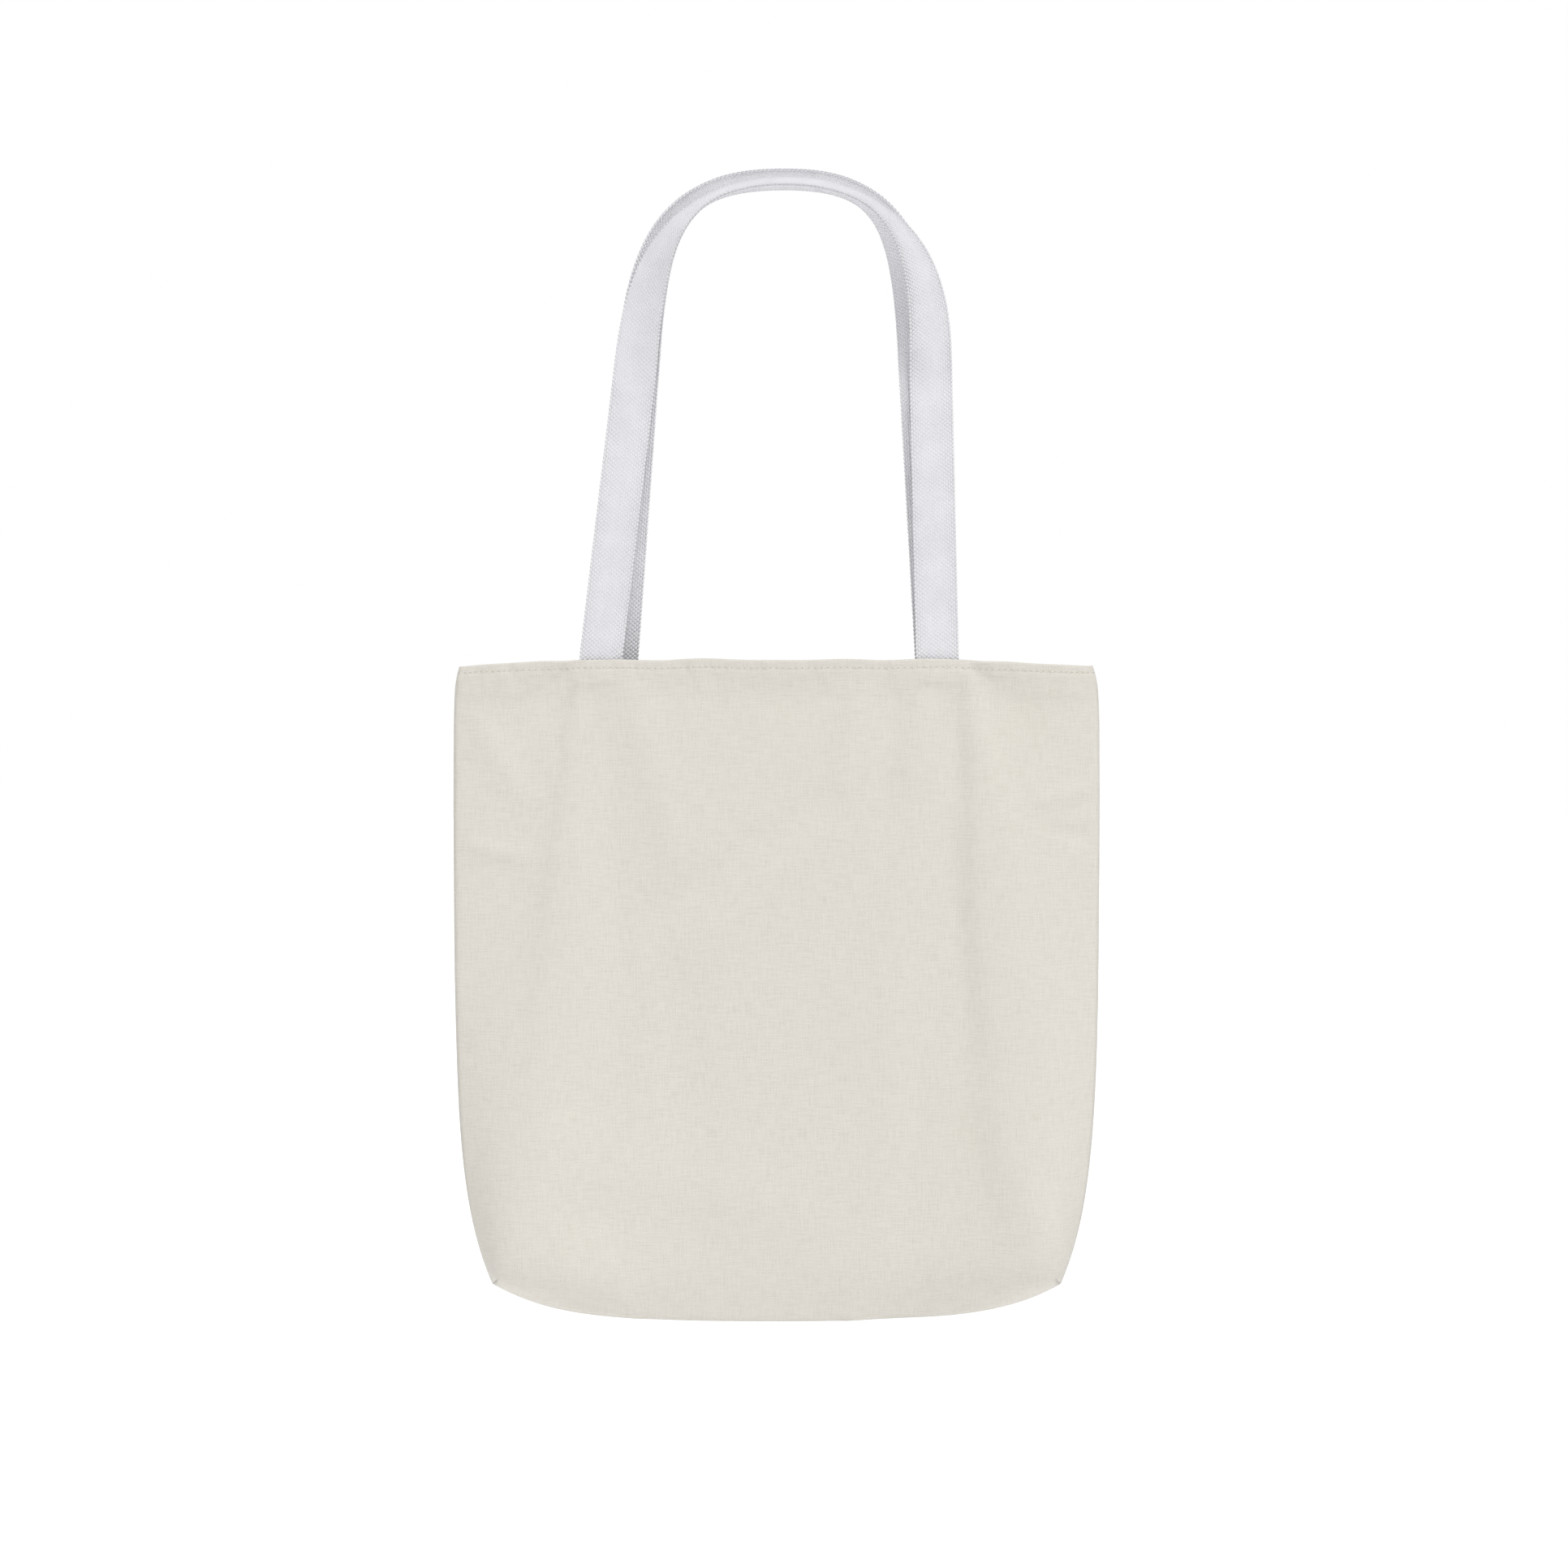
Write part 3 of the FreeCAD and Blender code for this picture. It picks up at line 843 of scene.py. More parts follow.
@dataclass
class Drape:
    """Hangs the sewn bag by its handles' feet with a cloth simulation."""

    form: BagForm
    feet: dict[Side, tuple[float, float]]
    cell: float = 6 * MM
    foot_half: float = 13 * MM
    foot_deep: float = 12 * MM
    frames: int = 22
    reach: float = 9 * MM
    share: tuple[float, float, float] = (0.22, 0.42, 0.14)

    def lines(self, whole: float, from_both: bool) -> np.ndarray:
        """Places of the grid's lines, exact at the corner's square.

        Args:
            whole: the cloth's length this way.
            from_both: whether both ends have a square taken out.

        Returns:
            The places, from 0 to the whole length.
        """
        corner = self.form.corner
        steps = round(corner / self.cell)
        start = np.linspace(0, corner, steps + 1)
        middle_end = whole - corner if from_both else whole
        count = round((middle_end - corner) / self.cell)
        middle = np.linspace(corner, middle_end, count + 1)[1:]
        end = whole - start[::-1][1:] if from_both else np.empty(0)
        return np.concatenate([start, middle, end])

    def run(self) -> tuple[dict[Side, np.ndarray], np.ndarray, np.ndarray]:
        """Sew the two panels into one mesh, hang it and read it back.

        Returns:
            Each side's grid of points, the grid's places across, and its places up.
        """
        form = self.form
        columns = self.lines(2 * form.half_width, True) - form.half_width
        rows = self.lines(form.height, False)
        across, up = np.meshgrid(columns, rows)
        square = (form.half_width - np.abs(across) < form.corner - HAIR) & (up < form.corner - HAIR)
        rest = form.surface(across, up)
        points, numbers, seen = [], {}, {}
        for side in Side:
            index = np.full(across.shape, -1)
            for i, j in np.argwhere(~square):
                x, depth, z = rest[i, j]
                key = (round(x, 6), round(side.value * depth, 6), round(z, 6))
                if key not in seen:
                    seen[key] = len(points)
                    points.append((x, side.value * depth, z))
                index[i, j] = seen[key]
            numbers[side] = index
        faces = []
        for side, index in numbers.items():
            for i in range(len(rows) - 1):
                for j in range(len(columns) - 1):
                    ring = [index[i, j], index[i, j + 1], index[i + 1, j + 1], index[i + 1, j]]
                    ring = list(dict.fromkeys(ring))
                    if min(ring) >= 0 and len(ring) > 2:
                        faces.append(ring if side is Side.FRONT else ring[::-1])
        start = np.array(points)
        moved = self.simulate(start, faces)
        shift = moved - start
        length = np.linalg.norm(shift, axis=1, keepdims=True)
        shift *= np.minimum(1, self.reach / np.maximum(length, HAIR)) * np.array(self.share)
        LOG.info("the hung cloth moved by up to %.1f mm", length.max() / MM)
        done = start + shift
        grids = {}
        for side, index in numbers.items():
            grid = done[np.maximum(index, 0)]
            away = np.maximum(grid[..., 1] * side.value, 0)
            grid[..., 1] = away * side.value
            grids[side] = grid
        return grids, columns, rows

    def simulate(self, points: np.ndarray, faces: list) -> np.ndarray:
        """Let the cloth settle under its own weight, held at the handles' feet.

        Args:
            points: the sewn mesh's points.
            faces: its faces.

        Returns:
            The settled points.
        """
        cloth = mesh_object("hanging_cloth", points, faces)
        pins = []
        for side, feet in self.feet.items():
            for foot in feet:
                near = np.abs(points[:, 0] - foot) < self.foot_half
                near &= points[:, 2] > -self.foot_deep
                near &= points[:, 1] * side.value > -1e-6
                pins += np.flatnonzero(near).tolist()
        group = cloth.vertex_groups.new(name="pins")
        group.add(sorted(set(pins)), 1.0, "REPLACE")
        modifier = cloth.modifiers.new("cloth", "CLOTH")
        settings = modifier.settings
        for name, value in CANVAS_BEHAVIOUR.items():
            setattr(settings, name, value)
        settings.vertex_group_mass = "pins"
        modifier.collision_settings.use_collision = False
        scene = bpy.context.scene
        for frame in range(1, self.frames + 1):
            scene.frame_set(frame)
        graph = bpy.context.evaluated_depsgraph_get()
        settled = cloth.evaluated_get(graph).data
        result = np.zeros(len(settled.vertices) * 3)
        settled.vertices.foreach_get("co", result)
        scene.frame_set(1)
        bpy.data.objects.remove(cloth)
        return result.reshape(-1, 3)


# --- panels -------------------------------------------------------------------------------

FRONT_FOLDS = [
    Fold((52, -8), (38, -92), 9, 1.5),
    Fold((72, -4), (64, -112), 8, -1.4),
    Fold((90, -14), (84, -88), 7, 1.3),
    Fold((112, -8), (118, -98), 9, -1.3),
    Fold((100, -30), (-70, -205), 16, 1.9),
    Fold((78, -60), (-110, -175), 13, -1.3),
    Fold((128, -40), (30, -250), 18, 1.5),
    Fold((-118, -12), (-132, -120), 10, -1.3),
    Fold((-88, -12), (-60, -130), 11, 1.2),
    Fold((-196, -112), (-150, -122), 5, 1.6),
    Fold((-190, -30), (-150, -95), 9, 1.5),
    Fold((198, -76), (158, -88), 5, 1.5),
    Fold((198, -108), (165, -104), 5, -1.2),
    Fold((-150, -300), (40, -345), 20, 1.4),
    Fold((120, -250), (170, -370), 15, 1.4),
    Fold((-120, -270), (-168, -372), 15, 1.3),
    Fold((-30, -120), (-50, -300), 26, -1.2),
]
BACK_FOLDS = [
    Fold((96, -12), (70, -120), 9, 1.4),
    Fold((-98, -12), (-80, -140), 10, 1.4),
    Fold((-100, -20), (60, -210), 16, 1.7),
    Fold((60, -8), (30, -95), 9, -1.2),
    Fold((130, -60), (150, -200), 14, 1.2),
    Fold((-196, -90), (-155, -100), 6, 1.3),
    Fold((196, -130), (160, -138), 6, 1.2),
    Fold((-140, -270), (20, -350), 20, 1.4),
    Fold((118, -262), (168, -370), 15, 1.3),
]


@dataclass
class Panel:
    """One canvas panel with its rolled hem, read from the hung cloth at a finer spacing."""

    side: Side
    form: BagForm
    folds: list[Fold]
    feet: tuple[float, float]
    fine: float = 2.95 * MM
    hem_cell: float = 1.0 * MM
    hem_zone: float = 16 * MM
    groove: float = 0.24 * MM
    pucker: float = 0.4 * MM
    foot_bulge: float = 0.8 * MM
    droop: float = 2.6 * MM
    fold_reach: float = 22 * MM
    fold_passes: int = 60
    groove_run: float = 1.3 * MM
    seam_run: float = 12 * MM
    pucker_run: float = 9 * MM
    foot_half: float = 15.5 * MM
    foot_deep: float = 17 * MM
    foot_fade: float = 4 * MM
    wave: float = 0.5 * MM
    wave_length: float = 90 * MM
    inside: np.ndarray | None = None

    def places(self) -> tuple[np.ndarray, np.ndarray]:
        """Space the fine grid's lines, closer at the hem.

        Returns:
            The places across, and up from the bottom seam.
        """
        form = self.form
        corner = np.linspace(0, form.corner, round(form.corner / self.fine) + 1)
        wide = form.half_width - form.corner
        middle = np.linspace(-wide, wide, round(2 * wide / self.fine) + 1)
        left = corner[:-1] - form.half_width
        columns = np.concatenate([left, middle, -left[::-1]])
        high = form.height - self.hem_zone
        face = np.linspace(form.corner, high, round((high - form.corner) / self.fine) + 1)
        count = round(self.hem_zone / self.hem_cell)
        hem = np.linspace(high, form.height, count + 1)[1:]
        return columns, np.concatenate([corner, face[1:], hem])

    def skin(self, grid: np.ndarray, old_columns: np.ndarray, old_rows: np.ndarray) -> np.ndarray:
        """Read the hung cloth on the fine grid and add layers, folds, grooves and puckers.

        Args:
            grid: the hung cloth's points on this side.
            old_columns: its places across.
            old_rows: its places up.

        Returns:
            The inside surface of the panel on the fine grid.
        """
        form, sign = self.form, self.side.value
        columns, rows = self.places()
        low = np.count_nonzero(old_rows < form.corner - HAIR)
        fine_low = np.count_nonzero(rows < form.corner - HAIR)
        inside = np.count_nonzero(old_columns < form.corner - form.half_width - HAIR)
        fine = resample(fill_corners(grid, low, inside, False), old_rows, rows, 0)
        fine = resample(fill_corners(fine, fine_low, inside, True), old_columns, columns, 1)
        across, up = np.meshgrid(columns, rows)
        fine = self.soften(fine, across, up)
        down = up - form.height
        flat_x = np.clip(fine[..., 0], -form.fold_x, form.fold_x)
        out = form.stack(flat_x, np.maximum(down, form.fold_z))
        seam = smooth_step((form.half_width - np.abs(across)) / self.seam_run)
        for fold in self.folds:
            out = out + seam * fold.rise(across, down)
        row = np.exp(-(((down + form.hem_row) / self.groove_run) ** 2))
        uneven = 1 + 0.35 * ripple(across, 11 * MM, 3 + sign)
        out = out - self.groove * row * uneven
        band = np.exp(-np.maximum(-down - form.hem_depth, 0) / self.pucker_run)
        out = out + seam * self.pucker * band * ripple(across + 0.35 * down, 15 * MM, 8 + sign)
        for foot in self.feet:
            near = smooth_step((self.foot_half - np.abs(across - foot)) / self.foot_fade)
            deep = smooth_step((down + self.foot_deep) / self.foot_fade)
            out = out + self.foot_bulge * near * deep
        sewn = fine[..., 1] + sign * form.gap
        loose = sign * (np.maximum(fine[..., 1] * sign, 0) + out)
        inset = form.half_width - np.abs(across)
        edge = smooth_step(np.minimum(inset, up) / self.fine)
        hem = smooth_step((down + form.hem_depth + 7 * MM) / (6 * MM))
        fine[..., 1] = sewn + (loose - sewn) * np.maximum(edge, hem)
        top = np.exp(down / (14 * MM))
        ends = smooth_step((np.abs(across) - 0.62 * form.half_width) / (0.4 * form.half_width))
        wave = self.wave * ripple(across, self.wave_length, 5)
        fine[..., 2] += top * (wave - self.droop * ends)
        self.sew_corners(fine, fine_low)
        return fine

    def soften(self, grid: np.ndarray, across: np.ndarray, up: np.ndarray) -> np.ndarray:
        """Round the cloth where it turns into the box, except along its seams.

        Args:
            grid: the fine grid's points.
            across: each point's place across the flat cloth.
            up: its place up from the bottom seam.

        Returns:
            The softened grid.
        """
        form = self.form
        inset = form.half_width - np.abs(across)
        near = np.exp(-(((inset - form.corner) / self.fold_reach) ** 2))
        near = np.maximum(near, np.exp(-(((up - form.corner) / self.fold_reach) ** 2)))
        edge = np.minimum(inset, up) / (10 * MM)
        weight = (0.5 * near * smooth_step(edge))[..., None]
        weight[-1] = 0
        cells = np.count_nonzero(up[:, 0] < form.corner - HAIR)
        for _ in range(self.fold_passes):
            self.sew_corners(grid, cells)
            around = (grid[2:, 1:-1] + grid[:-2, 1:-1] + grid[1:-1, 2:] + grid[1:-1, :-2]) / 4
            grid[1:-1, 1:-1] += weight[1:-1, 1:-1] * (around - grid[1:-1, 1:-1])
        self.sew_corners(grid, cells)
        return grid

    def sew_corners(self, grid: np.ndarray, cells: int) -> None:
        """Close both cut corners: a corner's edges meet, and each goes on into the cloth beyond.

        Args:
            grid: the grid, changed in place.
            cells: a corner's rows and columns.
        """
        for half in (grid, grid[:, ::-1]):
            side, under = half[cells, : cells + 1], half[: cells + 1, cells]
            seam = (side + under) / 2
            half[cells, : cells + 1] = seam
            half[: cells + 1, cells] = seam
            half[cells - 1, :cells] = half[:cells, cells + 1]
            half[:cells, cells - 1] = half[cells + 1, :cells]

    def roll(self) -> list[tuple[float, float]]:
        """Trace the rolled hem.

        Returns:
            How far in and how far up each step lies from the panel's top edge.
        """
        gap = self.form.layer
        turn = [math.pi * i / 6 for i in range(1, 7)]
        arc = [(gap / 2 * (1 - math.cos(t)), gap / 2 * math.sin(t)) for t in turn]
        deep = self.form.hem_depth
        leg = [(gap, -deep * share) for share in (0.25, 0.5, 0.62, 0.75, 0.9, 0.97)]
        return arc + leg + [(gap * 0.62, -deep * 1.0), (gap * 0.3, -deep * 0.96)]

    def build(
        self, grid: np.ndarray, old_columns: np.ndarray, old_rows: np.ndarray, finish: Finishes
    ) -> bpy.types.Object:
        """Make the finished panel.

        Args:
            grid: the hung cloth's points on this side.
            old_columns: its places across.
            old_rows: its places up.
            finish: the bag's materials.

        Returns:
            The panel's object.
        """
        form, sign = self.form, self.side.value
        columns, rows = self.places()
        fine = self.skin(grid, old_columns, old_rows)
        self.inside = fine
        lift = form.cloth + form.layer / 2
        top = fine[-1].copy()
        top[:, 2] -= lift
        near = np.exp(-((form.height - rows) / (3 * MM)))[:, None]
        fine[..., 2] -= lift * near
        extra = []
        for inward, high in self.roll():
            line = top.copy()
            if high < 0:
                beside = resample(self.inside, rows, np.array([form.height + high]), 0)[0]
                line[:, :2] = beside[:, :2]
            line[:, 1] = sign * np.maximum(line[:, 1] * sign - inward, form.gap)
            line[:, 2] += high
            extra.append(line)
        points = np.concatenate([fine, np.stack(extra)])
        ups = [inward + max(high, 0) for inward, high in self.roll()]
        heights = np.concatenate([rows - form.height, np.array(ups)])
        count = len(columns)
        u = np.tile(columns, len(heights))
        v = np.repeat(heights, count)
        square = (form.half_width - np.abs(u) < form.corner - HAIR) & (
            v + form.height < form.corner - HAIR
        )
        rings = [ring for ring in grid_faces(len(heights), count) if not square[list(ring)].any()]
        faces = [ring if sign < 0 else ring[::-1] for ring in rings]
        points = points.reshape(-1, 3)
        points[:, 2] += form.mouth_z
        name = "front_panel_cloth" if self.side is Side.FRONT else "back_panel_cloth"
        panel = mesh_object(name, points, faces)
        lay_cloth_map(panel, np.stack([u, v], axis=1))
        drop_spare_points(panel)
        panel.data.materials.append(finish.canvas)
        thick = panel.modifiers.new("thickness", "SOLIDIFY")
        thick.thickness = form.cloth
        thick.offset = 1.0
        thick.use_even_offset = False
        shade_smooth(panel)
        return panel

    def outside(self, across: np.ndarray, down: float) -> tuple[np.ndarray, np.ndarray]:
        """Points just on the panel's outside along a level line.

        Args:
            across: places across the flat cloth.
            down: the line's place below the hem, negative.

        Returns:
            The points, and the direction of the line at each.
        """
        columns, rows = self.places()
        level = np.array([self.form.height + down])
        line = resample(self.inside, rows, level, 0)
        points = resample(line, columns, across, 1)[0]
        points = points + np.array([0, self.side.value * self.form.cloth, self.form.mouth_z])
        return points, unit(np.gradient(points, axis=0))


def drop_spare_points(obj: bpy.types.Object) -> None:
    """Drop the points that no face uses.

    Args:
        obj: the piece, changed in place.
    """
    mesh = obj.data
    used = np.zeros(len(mesh.vertices), bool)
    corners = np.zeros(len(mesh.loops), np.int32)
    mesh.loops.foreach_get("vertex_index", corners)
    used[corners] = True
    work = bmesh.new()
    work.from_mesh(mesh)
    work.verts.ensure_lookup_table()
    spare = [work.verts[i] for i in np.flatnonzero(~used)]
    bmesh.ops.delete(work, geom=spare, context="VERTS")
    work.to_mesh(mesh)
    work.free()


def shade_smooth(obj: bpy.types.Object) -> None:
    """Shade every face smoothly."""
    obj.data.polygons.foreach_set("use_smooth", [True] * len(obj.data.polygons))


# --- seams --------------------------------------------------------------------------------


@dataclass
class SeamEdges:
    """A seam's turned-in edges with their overlock loops and lock stitches."""

    seam: Seam
    line: np.ndarray
    inward: np.ndarray
    face: np.ndarray
    form: BagForm
    start: float = 0.9 * MM
    loop_pitch: float = 1.9 * MM
    wrap: float = 4 * MM
    stitch_inset: float = 0.45 * MM
    map_drop: float = 0.3  # metres, so that the strip's map stays clear of the hem's needle holes

    def build(self, finish: Finishes) -> list[bpy.types.Object]:
        """Make the cloth strip, the edge loops and the stitches.

        Args:
            finish: the bag's materials.

        Returns:
            The three pieces.
        """
        name = self.seam.value
        form = self.form
        places = np.array([0, 0.2, 0.4, 0.6, 0.8, 1.0]) * form.allowance + self.start
        wander = 0.25 * MM * ripple(np.arange(len(self.line)) * 3 * MM, 25 * MM, len(name))
        rows = []
        for place in places:
            lean = wander * (place / form.allowance) ** 2
            rows.append(self.line + self.inward * place + self.face * lean[:, None])
        grid = np.stack(rows)
        count = len(self.line)
        faces = grid_faces(len(places), count)
        strip = mesh_object(f"{name}_seam_edges", grid.reshape(-1, 3), faces)
        lengthwise = np.tile(np.arange(count) * 3 * MM, len(places))
        lay_cloth_map(strip, np.stack([lengthwise, np.repeat(places - self.map_drop, count)], axis=1))
        strip.data.materials.append(finish.canvas)
        thick = strip.modifiers.new("thickness", "SOLIDIFY")
        thick.thickness = 1.8 * form.cloth
        thick.offset = 0.0
        shade_smooth(strip)
        return [strip, self.loops(grid, finish), self.stitches(finish)]

    def loops(self, grid: np.ndarray, finish: Finishes) -> bpy.types.Object:
        """Wrap overlock loops over the raw edge, on both faces and along it.

        Args:
            grid: the strip's points, raw edge last.
            finish: the bag's materials.

        Returns:
            The piece.
        """
        edge = even_line(grid[-1], self.loop_pitch)
        along = unit(np.gradient(edge, axis=0))
        beads = Beads(f"{self.seam.value}_overlock_loops", self.wrap * 1.08, 0.75 * MM, 0.6 * MM, 0.08, 4)
        half = 0.95 * self.form.cloth
        middle = edge - self.inward * (self.wrap / 2)
        slant = unit(self.inward + 0.22 * along)
        for way in (-1, 1):
            beads.add(middle + self.face * (half * way), slant, self.face * way)
            beads.add(middle + self.face * (half * way), slant - 0.44 * along, self.face * way)
        beads.add(edge + self.inward * (0.25 * MM), along + 0.8 * self.face, self.inward)
        return beads.build(finish.overlock)

    def stitches(self, finish: Finishes) -> bpy.types.Object:
        """Set the lock stitches that hold the seam, in the groove between the panels.

        Args:
            finish: the bag's materials.

        Returns:
            The piece.
        """
        line = even_line(self.line + self.inward * self.stitch_inset, self.form.stitch)
        along = unit(np.gradient(line, axis=0))
        beads = Beads(f"{self.seam.value}_seam_stitches", 3.3 * MM, 0.5 * MM, 0.5 * MM, 0.05, 2)
        beads.add(line, along, self.face)
        return beads.build(finish.sewing)


def even_line(points: np.ndarray, pitch: float) -> np.ndarray:
    """Space points evenly along a line.

    Args:
        points: the line's own points, place first and then anything else to carry along.
        pitch: the spacing wanted.

    Returns:
        The new points.
    """
    steps = np.linalg.norm(np.diff(points[:, :3], axis=0), axis=1)
    run = np.concatenate([[0], np.cumsum(steps)])
    count = max(int(run[-1] / pitch), 2)
    wanted = np.linspace(0, run[-1], count + 1)
    spaced = [np.interp(wanted, run, points[:, k]) for k in range(points.shape[1])]
    return np.stack(spaced, axis=1)


# --- handles ------------------------------------------------------------------------------


@dataclass
class Handle:
    """One webbing handle, from its sewn end up the leg, over the arch and down again."""

    name: str
    side: Side
    form: BagForm
    feet: tuple[float, float]
    leans: tuple[float, float]
    lift: float
    spring: float
    width: float = 26 * MM
    thick: float = 1.6 * MM
    rise: float = 286 * MM
    knee: float = 191 * MM
    top_x: float = 5 * MM
    top_turn: float = math.radians(71)
    tail: float = 13 * MM
    foot_gap: float = 2.5 * MM
    clear: float = 0.4 * MM
    column: float = 1.47 * MM
    row: float = 2.5 * MM
    row_slant: float = 0.09
    knuckle: float = 0.6 * MM
    cup: float = 0.25 * MM
    core_pitch: float = 1.25 * MM
    tooth: float = 0.18 * MM

    def edges(self, angle: np.ndarray) -> tuple[np.ndarray, np.ndarray]:
        """Measure a turned strap.

        Args:
            angle: its turn about its own length.

        Returns:
            How far its lowest and its rearmost edge are from its centre line.
        """
        half, thin = self.width / 2, self.thick / 2
        low = half * np.cos(angle) + thin * np.sin(angle)
        return low, half * np.sin(angle) + thin * np.cos(angle)

    def half_route(self, foot: float, lean: float) -> tuple[np.ndarray, np.ndarray]:
        """One leg and half the arch.

        Args:
            foot: the foot's place across.
            lean: how far the leg leans in.

        Returns:
            Points across and up, and each point's share of the arch.
        """
        way = 1 if foot < 0 else -1
        low, _ = self.edges(np.array(self.top_turn))
        top = np.array([self.top_x, self.rise + self.lift + float(low)])
        start = np.array([foot, self.foot_gap])
        knee = np.array([foot + way * lean, self.knee])
        along = (knee - start) / np.linalg.norm(knee - start)
        first = knee + along * (self.spring * (top[1] - knee[1]))
        second = top - np.array([way * 0.62 * abs(top[0] - knee[0]), 0])
        below = (self.tail + self.foot_gap) / (self.knee - self.foot_gap)
        share = np.linspace(-below, 1, 90)[:, None]
        leg = start + (knee - start) * share
        t = np.linspace(0, 1, 90)[1:, None]
        arch = knee * (1 - t) ** 3 + first * (3 * (1 - t) ** 2 * t)
        arch = arch + second * (3 * (1 - t) * t * t) + top * t**3
        shares = np.concatenate([(share[:, 0] - 1) * 1.8, t[:, 0]])
        return np.concatenate([leg, arch]), shares

    def frames(self, pitch: float) -> tuple[np.ndarray, np.ndarray, np.ndarray, np.ndarray]:
        """Evenly spaced cross-sections of the whole strap.

        Args:
            pitch: the distance between them.

        Returns:
            Middles, directions along, across and out, all below the hem's frame height.
        """
        form = self.form
        halves = []
        for foot, lean, way in zip(self.feet, self.leans, (1, -1)):
            route, share = self.half_route(foot, lean)
            angle = self.top_turn * smooth_step((share + 0.25) / 0.95)
            _, rear = self.edges(angle)
            fade = 1 - smooth_step(route[:, 1] / self.knee)
            depth = 2 * form.cloth + 2 * form.gap + self.thick / 2 - form.mouth_depth(foot)
            y = -(self.clear + rear) * (1 - fade) + depth * fade
            slope = (form.mouth_depth(foot - MM) - form.mouth_depth(foot + MM)) / (2 * MM)
            rows = np.column_stack([route[:, 0], y, route[:, 1], angle, slope * fade])
            halves.append(rows if way > 0 else rows[::-1])
        whole = np.concatenate([halves[0], halves[1][1:]])
        spaced = even_line(whole, pitch)
        middle, angle, yaw = spaced[:, :3], spaced[:, 3], spaced[:, 4]
        along = unit(np.gradient(middle, axis=0))
        inner = unit(np.column_stack([along[:, 2], 0 * angle, -along[:, 0]]))
        across = inner * np.cos(angle)[:, None]
        across[:, 1] -= np.sin(angle)
        across[:, 1] += yaw * inner[:, 0]
        across = unit(across - along * np.sum(across * along, axis=1)[:, None])
        out = unit(np.cross(along, across)) * -1
        if self.side is Side.BACK:
            for rows in (middle, along, across, out):
                rows[:, 1] *= -1
        middle = middle + np.array([0, 0, form.mouth_z])
        return middle, along, across, out

    def core(self, finish: Finishes) -> bpy.types.Object:
        """Make the webbing's body, a flat band with rounded, slightly serrated edges.

        Args:
            finish: the bag's materials.

        Returns:
            The piece.
        """
        middle, along, across, out = self.frames(self.core_pitch)
        half, thin = self.width / 2 - 0.3 * MM, self.thick / 2 - 0.14 * MM
        turns = np.linspace(0, 2 * math.pi, 28, endpoint=False)
        wide = np.sign(np.cos(turns)) * np.abs(np.cos(turns)) ** 0.45 * half
        deep = np.sign(np.sin(turns)) * np.abs(np.sin(turns)) ** 0.45 * thin
        turned = 2 * math.pi * np.arange(len(middle)) * self.core_pitch / self.row
        tooth = self.tooth * np.sin(turned)
        cup = self.cup * (wide / half) ** 2
        rings = (
            middle[:, None]
            + across[:, None] * (wide + np.sign(wide) * tooth[:, None])[..., None]
            + out[:, None] * (deep + cup)[None, :, None]
        )
        count, size = len(middle), len(turns)
        faces = grid_faces(count, size, wrap=True)
        faces.append(tuple(range(size))[::-1])
        faces.append(tuple((count - 1) * size + j for j in range(size)))
        band = mesh_object(f"{self.name}_strap", rings.reshape(-1, 3), faces)
        # The body takes the darker core finish: painted shade between the knuckles.
        recalculate(band)
        band.data.materials.append(finish.shaded_webbing_core)
        shade_smooth(band)
        return band

    def weave(self, outer: bool, finish: Finishes) -> bpy.types.Object:
        """The raised knuckles of one face: staggered columns of short yarns.

        Args:
            outer: whether it is the face away from the bag.
            finish: the bag's materials.

        Returns:
            The piece.
        """
        middle, along, across, out = self.frames(self.row / 2)
        way = 1 if outer else -1
        columns = int(self.width / self.column)
        face = "outer" if outer else "inner"
        size = (3.0 * MM, 1.7 * MM, self.knuckle)
        beads = Beads(f"{self.name}_{face}_weave", *size, 0.05, columns)
        for j in range(columns + 1):
            place = (j - columns / 2) * (self.width - 1.1 * MM) / columns
            pick = np.arange(j % 2, len(middle), 2)
            cup = self.cup * (2 * place / self.width) ** 2
            stand = out[pick] * (way * (self.thick / 2 - self.knuckle / 2) + cup)
            shift = across[pick] * place + along[pick] * (self.row_slant * place)
            lean = along[pick] + across[pick] * 0.12
            beads.add(middle[pick] + shift + stand, lean, out[pick] * way)
        return beads.build(finish.webbing)

    def tail_stitches(self, finish: Finishes) -> dict[str, bpy.types.Object]:
        """Set two rows of stitches across the inside of each sewn end.

        Args:
            finish: the bag's materials.

        Returns:
            The pieces, named left and right.
        """
        made = {}
        for label, foot in zip(("left", "right"), self.feet):
            beads = Beads(f"{self.name}_{label}_tail_stitches", 3.2 * MM, 0.5 * MM, 0.5 * MM, 0.05)
            for down in (5 * MM, 10 * MM):
                across = np.arange(-11.7, 11.8, 3.9) * MM
                depth = [self.form.mouth_depth(foot + x) for x in across]
                layers = 2 * self.form.cloth + 2 * self.form.gap + self.thick + 0.15 * MM
                y = self.side.value * (np.array(depth) - layers)
                z = np.full(len(across), self.form.mouth_z - down)
                place = np.column_stack([foot + across, y, z])
                inward = np.array([0, -self.side.value, 0.0])
                beads.add(place, np.array([1.0, 0, 0]), inward)
            made[label] = beads.build(finish.sewing)
        return made


def recalculate(obj: bpy.types.Object) -> None:
    """Point every face of a closed mesh outwards.

    Args:
        obj: the piece, changed in place.
    """
    work = bmesh.new()
    work.from_mesh(obj.data)
    bmesh.ops.recalc_face_normals(work, faces=work.faces)
    work.to_mesh(obj.data)
    work.free()


# --- the whole bag ------------------------------------------------------------------------


